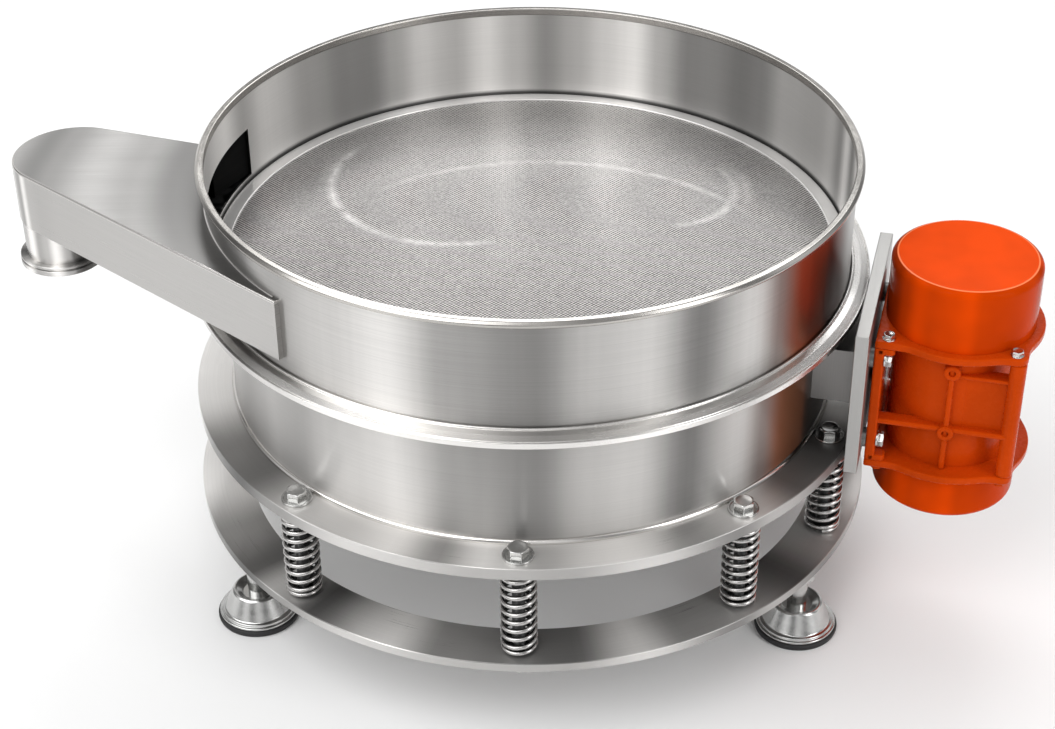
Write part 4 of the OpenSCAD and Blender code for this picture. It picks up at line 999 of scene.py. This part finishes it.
oneCoil = coilShape(zBaseTop, zDeckLow)
coils = [shiftTo(oneCoil, a, springR, 0, k * coil["step"] + coil["start"])
         for k, a in enumerate(springAngles)]
# painted shade: the wire's inner side, facing into the coil, takes a dark copy of the wire's steel
sideOf = np.tile(oneCoil[1][:, 0] % coil["sides"], len(coils))
innerSide = ((sideOf >= coil["innerFrom"]) & (sideOf <= coil["innerTo"])).astype(np.int32)
springsPiece = addPiece("coilSprings", joinShapes(coils), "springWire", body=None,
                        second=("shadedWire", innerSide))
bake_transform(springsPiece)
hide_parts("springs")
print("springs and bolts made")

foot = dict(sole=52.0, soleT=8.0, padT=34.0)
zPad = zFloor + foot["soleT"]
zPadTop = zPad + foot["padT"]
soleProfile = roundCorners([
    [0.5, zFloor, 0.1], [foot["sole"] - 1, zFloor, 1.5], [foot["sole"], zFloor + 3, 2.0],
    [foot["sole"], zPad, 2.4], [0.5, zPad, 0.1]], 4)[1:-1]
padProfile = roundCorners([
    [0.5, zPad, 0.1], [49.6, zPad, 0.6], [49.9, zPad + 3.2, 1.6], [46.6, zPad + 3.9, 1.2],
    [46.2, zPad + 6.5, 1.6], [42.5, zPad + 7.5, 3.0], [31.5, zPadTop - 2.5, 3.0], [28.5, zPadTop, 2.0],
    [26.0, zPadTop - 1.5, 2.0], [19.0, zPadTop - 7.0, 4.0], [0.5, zPadTop - 7.0, 0.1]], 5)[1:-1]
for k, middle in enumerate(footR * unit(footAngles), 1):
    addPiece(f"soleRubber{k}", turnedShape(soleProfile, 96, middle, closed=False), "blackRubber",
             [f"foot_sole_{k}"], f"foot_{k}")
    addPiece(f"padDisc{k}", turnedShape(padProfile, 96, middle, closed=False), "footMetal",
             [f"foot_pad_{k}"], f"foot_{k}")
print("feet made")

plate = dict(width=246.0, thick=16.0, edge=0.9)
plateIn = plates["chord"] - motorR
plateLow, plateTop = zSpan("motor_plate")
plateShape = boxShape([plateIn, -plate["width"] / 2, plateLow],
                      [plateIn + plate["thick"], plate["width"] / 2, plateTop], plate["edge"], plate["edge"])
addPiece("motorPlateSlab", atMotor(plateShape), "plateSteel", ["motor_plate"])

motor = dict(capRound=9.0, capWall=3.0, barrel=75.0, wall=5.0, halfWidth=84.0, footX=-92.0, footPlate=12.0,
             footReach=124.0, shield=10.0, shieldR=99.0, shieldHole=60.0, corner=12.0, blend=3.0, edge=2.2,
             post=20.0, rib=7.0, boss=10.0, bossUp=60.0, bossDown=26.0, boxHalf=38.0, boxHalfHeight=42.0,
             boxOut=89.0, lug=40.0)
zMotorLow, zMotorHigh = zSpan("motor_housing")
zMotorMid = (zMotorLow + zMotorHigh) / 2
zShieldTop, zShieldLow = zMotorHigh + motor["shield"], zMotorLow - motor["shield"]
footX = motor["footX"]


# cap: a cup turned from a profile, open side at the shield
def capShape(radius, openZ, closedZ):
    way, wall = np.sign(closedZ - openZ), motor["capWall"]
    profile = roundCorners([
        [radius - wall, openZ, 0.2], [radius, openZ, 0.5], [radius, closedZ, motor["capRound"]],
        [0.6, closedZ, 0.05], [0.6, closedZ - wall * way, 0.05],
        [radius - wall, closedZ - wall * way, motor["capRound"] - wall]], 7, 0.3)
    return atMotor(turnedShape(profile if way > 0 else profile[::-1], 160))


# end shield's plan as a radius for each direction: the larger of a round plate and a square with rounded
# corners, flowing into each other as k ln(exp(a / k) + exp(b / k)), and cut off flat at the motor's foot
def shieldPlan(steps=360):
    w, c, k = motor["halfWidth"], motor["corner"], motor["blend"]
    a = around(steps)
    ca, sa = np.abs(np.cos(a)), np.abs(np.sin(a))
    side = w / np.maximum(ca, sa)
    reach = (w - c) * (ca + sa)
    turn = reach + np.sqrt(np.maximum(reach ** 2 - 2 * (w - c) ** 2 + c * c, 0))
    square = np.where((side * ca > w - c) & (side * sa > w - c) & (np.cos(a) > 0), turn, side)
    r = k * np.logaddexp(square / k, motor["shieldR"] / k)
    behind = np.cos(a) < -0.2
    flat = np.where(behind, -footX / np.maximum(ca, 0.01), 1e3)
    wide = np.where(behind & (np.abs(sa) * flat > w), w / np.maximum(sa, 0.01), flat)
    least = np.where(wide < 1e3, np.minimum(wide, motor["footReach"]), 0)
    r = np.where(behind, np.minimum(np.maximum(r, least), flat), r)
    return r[:, None] * unit(a)


# ring plate: the outline with rounded edges outside, a round hole inside
def ringPlateShape(outline, hole, low, high, edge):
    inset, z = slabLevels(low, high, edge)
    inner = hole * unit(np.arctan2(outline[:, 1], outline[:, 0]))
    first, last = (np.column_stack([inner, np.full(len(inner), level)]) for level in (low, high))
    rings = [first, *stackRings(outline, inset[1:-1], z[1:-1]), last]
    return gridShape(np.stack(rings, 1), True, True)


plan = shieldPlan()
# each end: radius of its cap, where the cap opens and closes, and the shield's low face
ends = dict(Top=("upper", 88.5, zShieldTop, highOf("upper_cap")[2], zMotorHigh),
            Low=("lower", 86.0, zShieldLow, lowOf("lower_cap")[2], zShieldLow))
for end, (side, radius, openZ, closedZ, low) in ends.items():
    addPiece("motorCap" + end, capShape(radius, openZ, closedZ), "orangeCap", [side + "_cap"])
for end, (side, _, _, _, low) in ends.items():
    shield = ringPlateShape(plan, motor["shieldHole"], low, low + motor["shield"], motor["edge"])
    addPiece("motorShield" + end, atMotor(shield), "orangeCast", [side + "_end_shield"])


# motor's body: barrel, foot, outer posts, ribs and bosses, each with its edges rounded off
def housingShape():
    low, high, mid, w, rib = zMotorLow, zMotorHigh, zMotorMid, motor["halfWidth"], motor["rib"]
    down = mid - motor["bossDown"]
    barrel = ringProfile(motor["barrel"] - motor["wall"], motor["barrel"], low, high, 0.3, 0.3, 2)
    shapes = [turnedShape(barrel, 128),
              boxShape([footX, -w, low], [footX + motor["footPlate"], w, high], 1.6, 2.5)]
    # boxes on both sides: x, y and z ranges, edge, corner
    boxes = [(footX, footX + 24, w - 16, w, z, z + 8, 1.5, 5.0) for z in (low, high - 8)]
    boxes += [
        (w - motor["post"], w - 0.5, w - 24, w - 0.5, low, high, 2.0, 8.0),
        (footX + 6, w - 3, w - 20, w - 1, down, down + rib, 2.4, 2.4),
        (-rib / 2, rib / 2, w - 16, w - 0.6, low, high, 2.4, 2.4),
        (3, w - 18, 60, 73, mid - 22, mid + 52, 1.2, 1.5),
        (0, w - 18, 60, w - 5, mid + 50, mid + 55, 1.6, 1.6),
    ]
    b, lug = motor["boss"], motor["lug"]
    boss = turnedShape(roundCorners([[b, lug, 0.2], [b, w + 2, 1.8], [4.2, w + 2, 0.6], [3.8, w - 6, 0.3],
                                     [0.4, w - 6, 0.1], [0.4, lug, 0.1]], 3), 40)
    for side in (-1, 1):
        for x0, x1, y0, y1, z0, z1, edge, corner in boxes:
            y = sorted([side * y0, side * y1])
            shapes.append(boxShape([x0, y[0], z0], [x1, y[1], z1], edge, corner))
        for z in (mid + motor["bossUp"], down):
            shapes.append(moved(boss, [[1, 0, 0], [0, 0, side], [0, -side, 0]], (0, 0, z)))
    half, tall = motor["boxHalf"], motor["boxHalfHeight"]
    shapes.append(boxShape([-half, lug, mid - tall], [half, motor["boxOut"], mid + tall], 2.0, 5.0))
    return joinShapes(shapes)


addPiece("motorBody", atMotor(housingShape()), "orangeCast", ["motor_housing"])


# bolt head and the washer under it, turned a little
def boltSet(across, head, washerR, washerT):
    washer = turnedShape(ringProfile(across * 0.32, washerR, 0, washerT, 0.2, 0.4, 3), 48)
    return [moved(hexHead(across, head, washerT, 0.4), turnZ(0.3)), washer]


mounting = dict(across=16, head=7, washerR=10, washerT=2, y=75, down=53, up=62, shank=5.0, rodFrom=-32.5,
                rodTo=0.5, pitch=1.5, thread=0.7)
mount = boltSet(mounting["across"], mounting["head"], mounting["washerR"], mounting["washerT"])
mount.append(threadedRod(mounting["shank"], mounting["rodFrom"], mounting["rodTo"], mounting["pitch"],
                         mounting["thread"]))
mountBolts = [moved(shape, alongX, (footX + motor["footPlate"], y, z))
              for y in (-mounting["y"], mounting["y"])
              for z in (zMotorMid - mounting["down"], zMotorMid + mounting["up"]) for shape in mount]
addPiece("motorMountBolts", atMotor(joinShapes(mountBolts)), "brightBolt",
         ["motor_bolts", "motor_washers"])

# the shields' bolts; for the top and the low ones their turn, place, head and washer
shieldBolt = dict(x=(-77, 70), y=(-74, 74), across=12.8, washerR=8,
                  sets=((np.eye(3), zShieldTop, 5.6, 1.5), (np.diag([1, -1, -1]), zShieldLow, 3.6, 1.2)))
topBolts, lowBolts = (
    [moved(shape, matrix, (x, y, z)) for x in shieldBolt["x"] for y in shieldBolt["y"]
     for shape in boltSet(shieldBolt["across"], head, shieldBolt["washerR"], washer)]
    for matrix, z, head, washer in shieldBolt["sets"])
addPiece("motorShieldBolts", atMotor(joinShapes(topBolts + lowBolts)), "brightBolt",
         ["shield_bolts", "shield_washers"], second=("orangeCast", partMarks(topBolts, lowBolts)))
print("motor made")

floorHalf = 12.0


def makeStage():
    mesh = bpy.data.meshes.new("studioFloor")
    corners = [(x * floorHalf, y * floorHalf, zFloor / 1000) for x, y in ((-1, -1), (1, -1), (1, 1), (-1, 1))]
    mesh.from_pydata(corners, [], [(0, 1, 2, 3)])
    floor = bpy.data.objects.new("studioFloor", mesh)
    bpy.context.scene.collection.objects.link(floor)
    bench = newBench("paleFloor")
    bench.shade({"Base Color": (0.93, 0.93, 0.93), "Roughness": 0.9, "Specular IOR Level": 0.1})
    mesh.materials.append(bench.owner)


makeStage()

camera = dict(place=(-0.0296, -2.2416, 1.7116), pitch=33.794, yaw=-0.624, roll=0.556, lens=71.66, sensor=36.0)
cameraData = bpy.data.cameras.new("photoView")
cameraData.lens = camera["lens"]
cameraData.sensor_width = camera["sensor"]
cameraData.sensor_fit = "HORIZONTAL"
cameraObject = bpy.data.objects.new("photoView", cameraData)
bpy.context.scene.collection.objects.link(cameraObject)
cameraObject.matrix_world = (Matrix.Translation(camera["place"])
                             @ Matrix.Rotation(radians(camera["yaw"]), 4, "Z")
                             @ Matrix.Rotation(radians(90 - camera["pitch"]), 4, "X")
                             @ Matrix.Rotation(radians(-camera["roll"]), 4, "Z"))
bpy.context.scene.camera = cameraObject


def softLight(name, place, target, size, power):
    data = bpy.data.lights.new(name, "AREA")
    data.shape = "RECTANGLE"
    data.size, data.size_y = size
    data.energy = power
    light = bpy.data.objects.new(name, data)
    bpy.context.scene.collection.objects.link(light)
    aim = Vector(target) - Vector(place)
    light.matrix_world = Matrix.Translation(place) @ aim.to_track_quat("-Z", "Y").to_matrix().to_4x4()


softLight("keyLeft", (-2.4, -1.8, 3.4), (0, 0, 0.3), (4.6, 4.0), 130)
softLight("fillRight", (2.6, -2.0, 1.8), (0.2, 0, 0.3), (1.2, 2.4), 30)
softLight("topBack", (0.3, 2.2, 2.8), (0, 0, 0.4), (2.6, 1.4), 45)

studio = dict(strength=0.75, levels=[
    (0.0, 0.9), (0.06, 0.25), (0.14, 1.3), (0.2, 0.35), (0.26, 1.1), (0.33, 0.4), (0.4, 1.2), (0.47, 0.3),
    (0.53, 1.4), (0.6, 0.35), (0.68, 1.0), (0.76, 0.4), (0.84, 1.1), (0.92, 0.3), (1.0, 0.9)])


# studio walls: soft upright panels, brighter and darker by turns round the horizon
def makeWorld():
    world = bpy.data.worlds.new("studio")
    bpy.context.scene.world = world
    bench = nodeBench(world)
    way = bench.place("Generated")[1]
    share = bench.mapRange(bench.turn(way["Y"], way["X"]), -np.pi, np.pi)
    colour = bench.ramp(share, [(place, (level, level, level)) for place, level in studio["levels"]], "EASE")
    background = bench.tree.nodes["Background"]
    bench.feed(colour, background.inputs["Color"])
    background.inputs["Strength"].default_value = studio["strength"]


makeWorld()
bpy.context.scene.view_settings.view_transform = "Standard"
print("scene done")
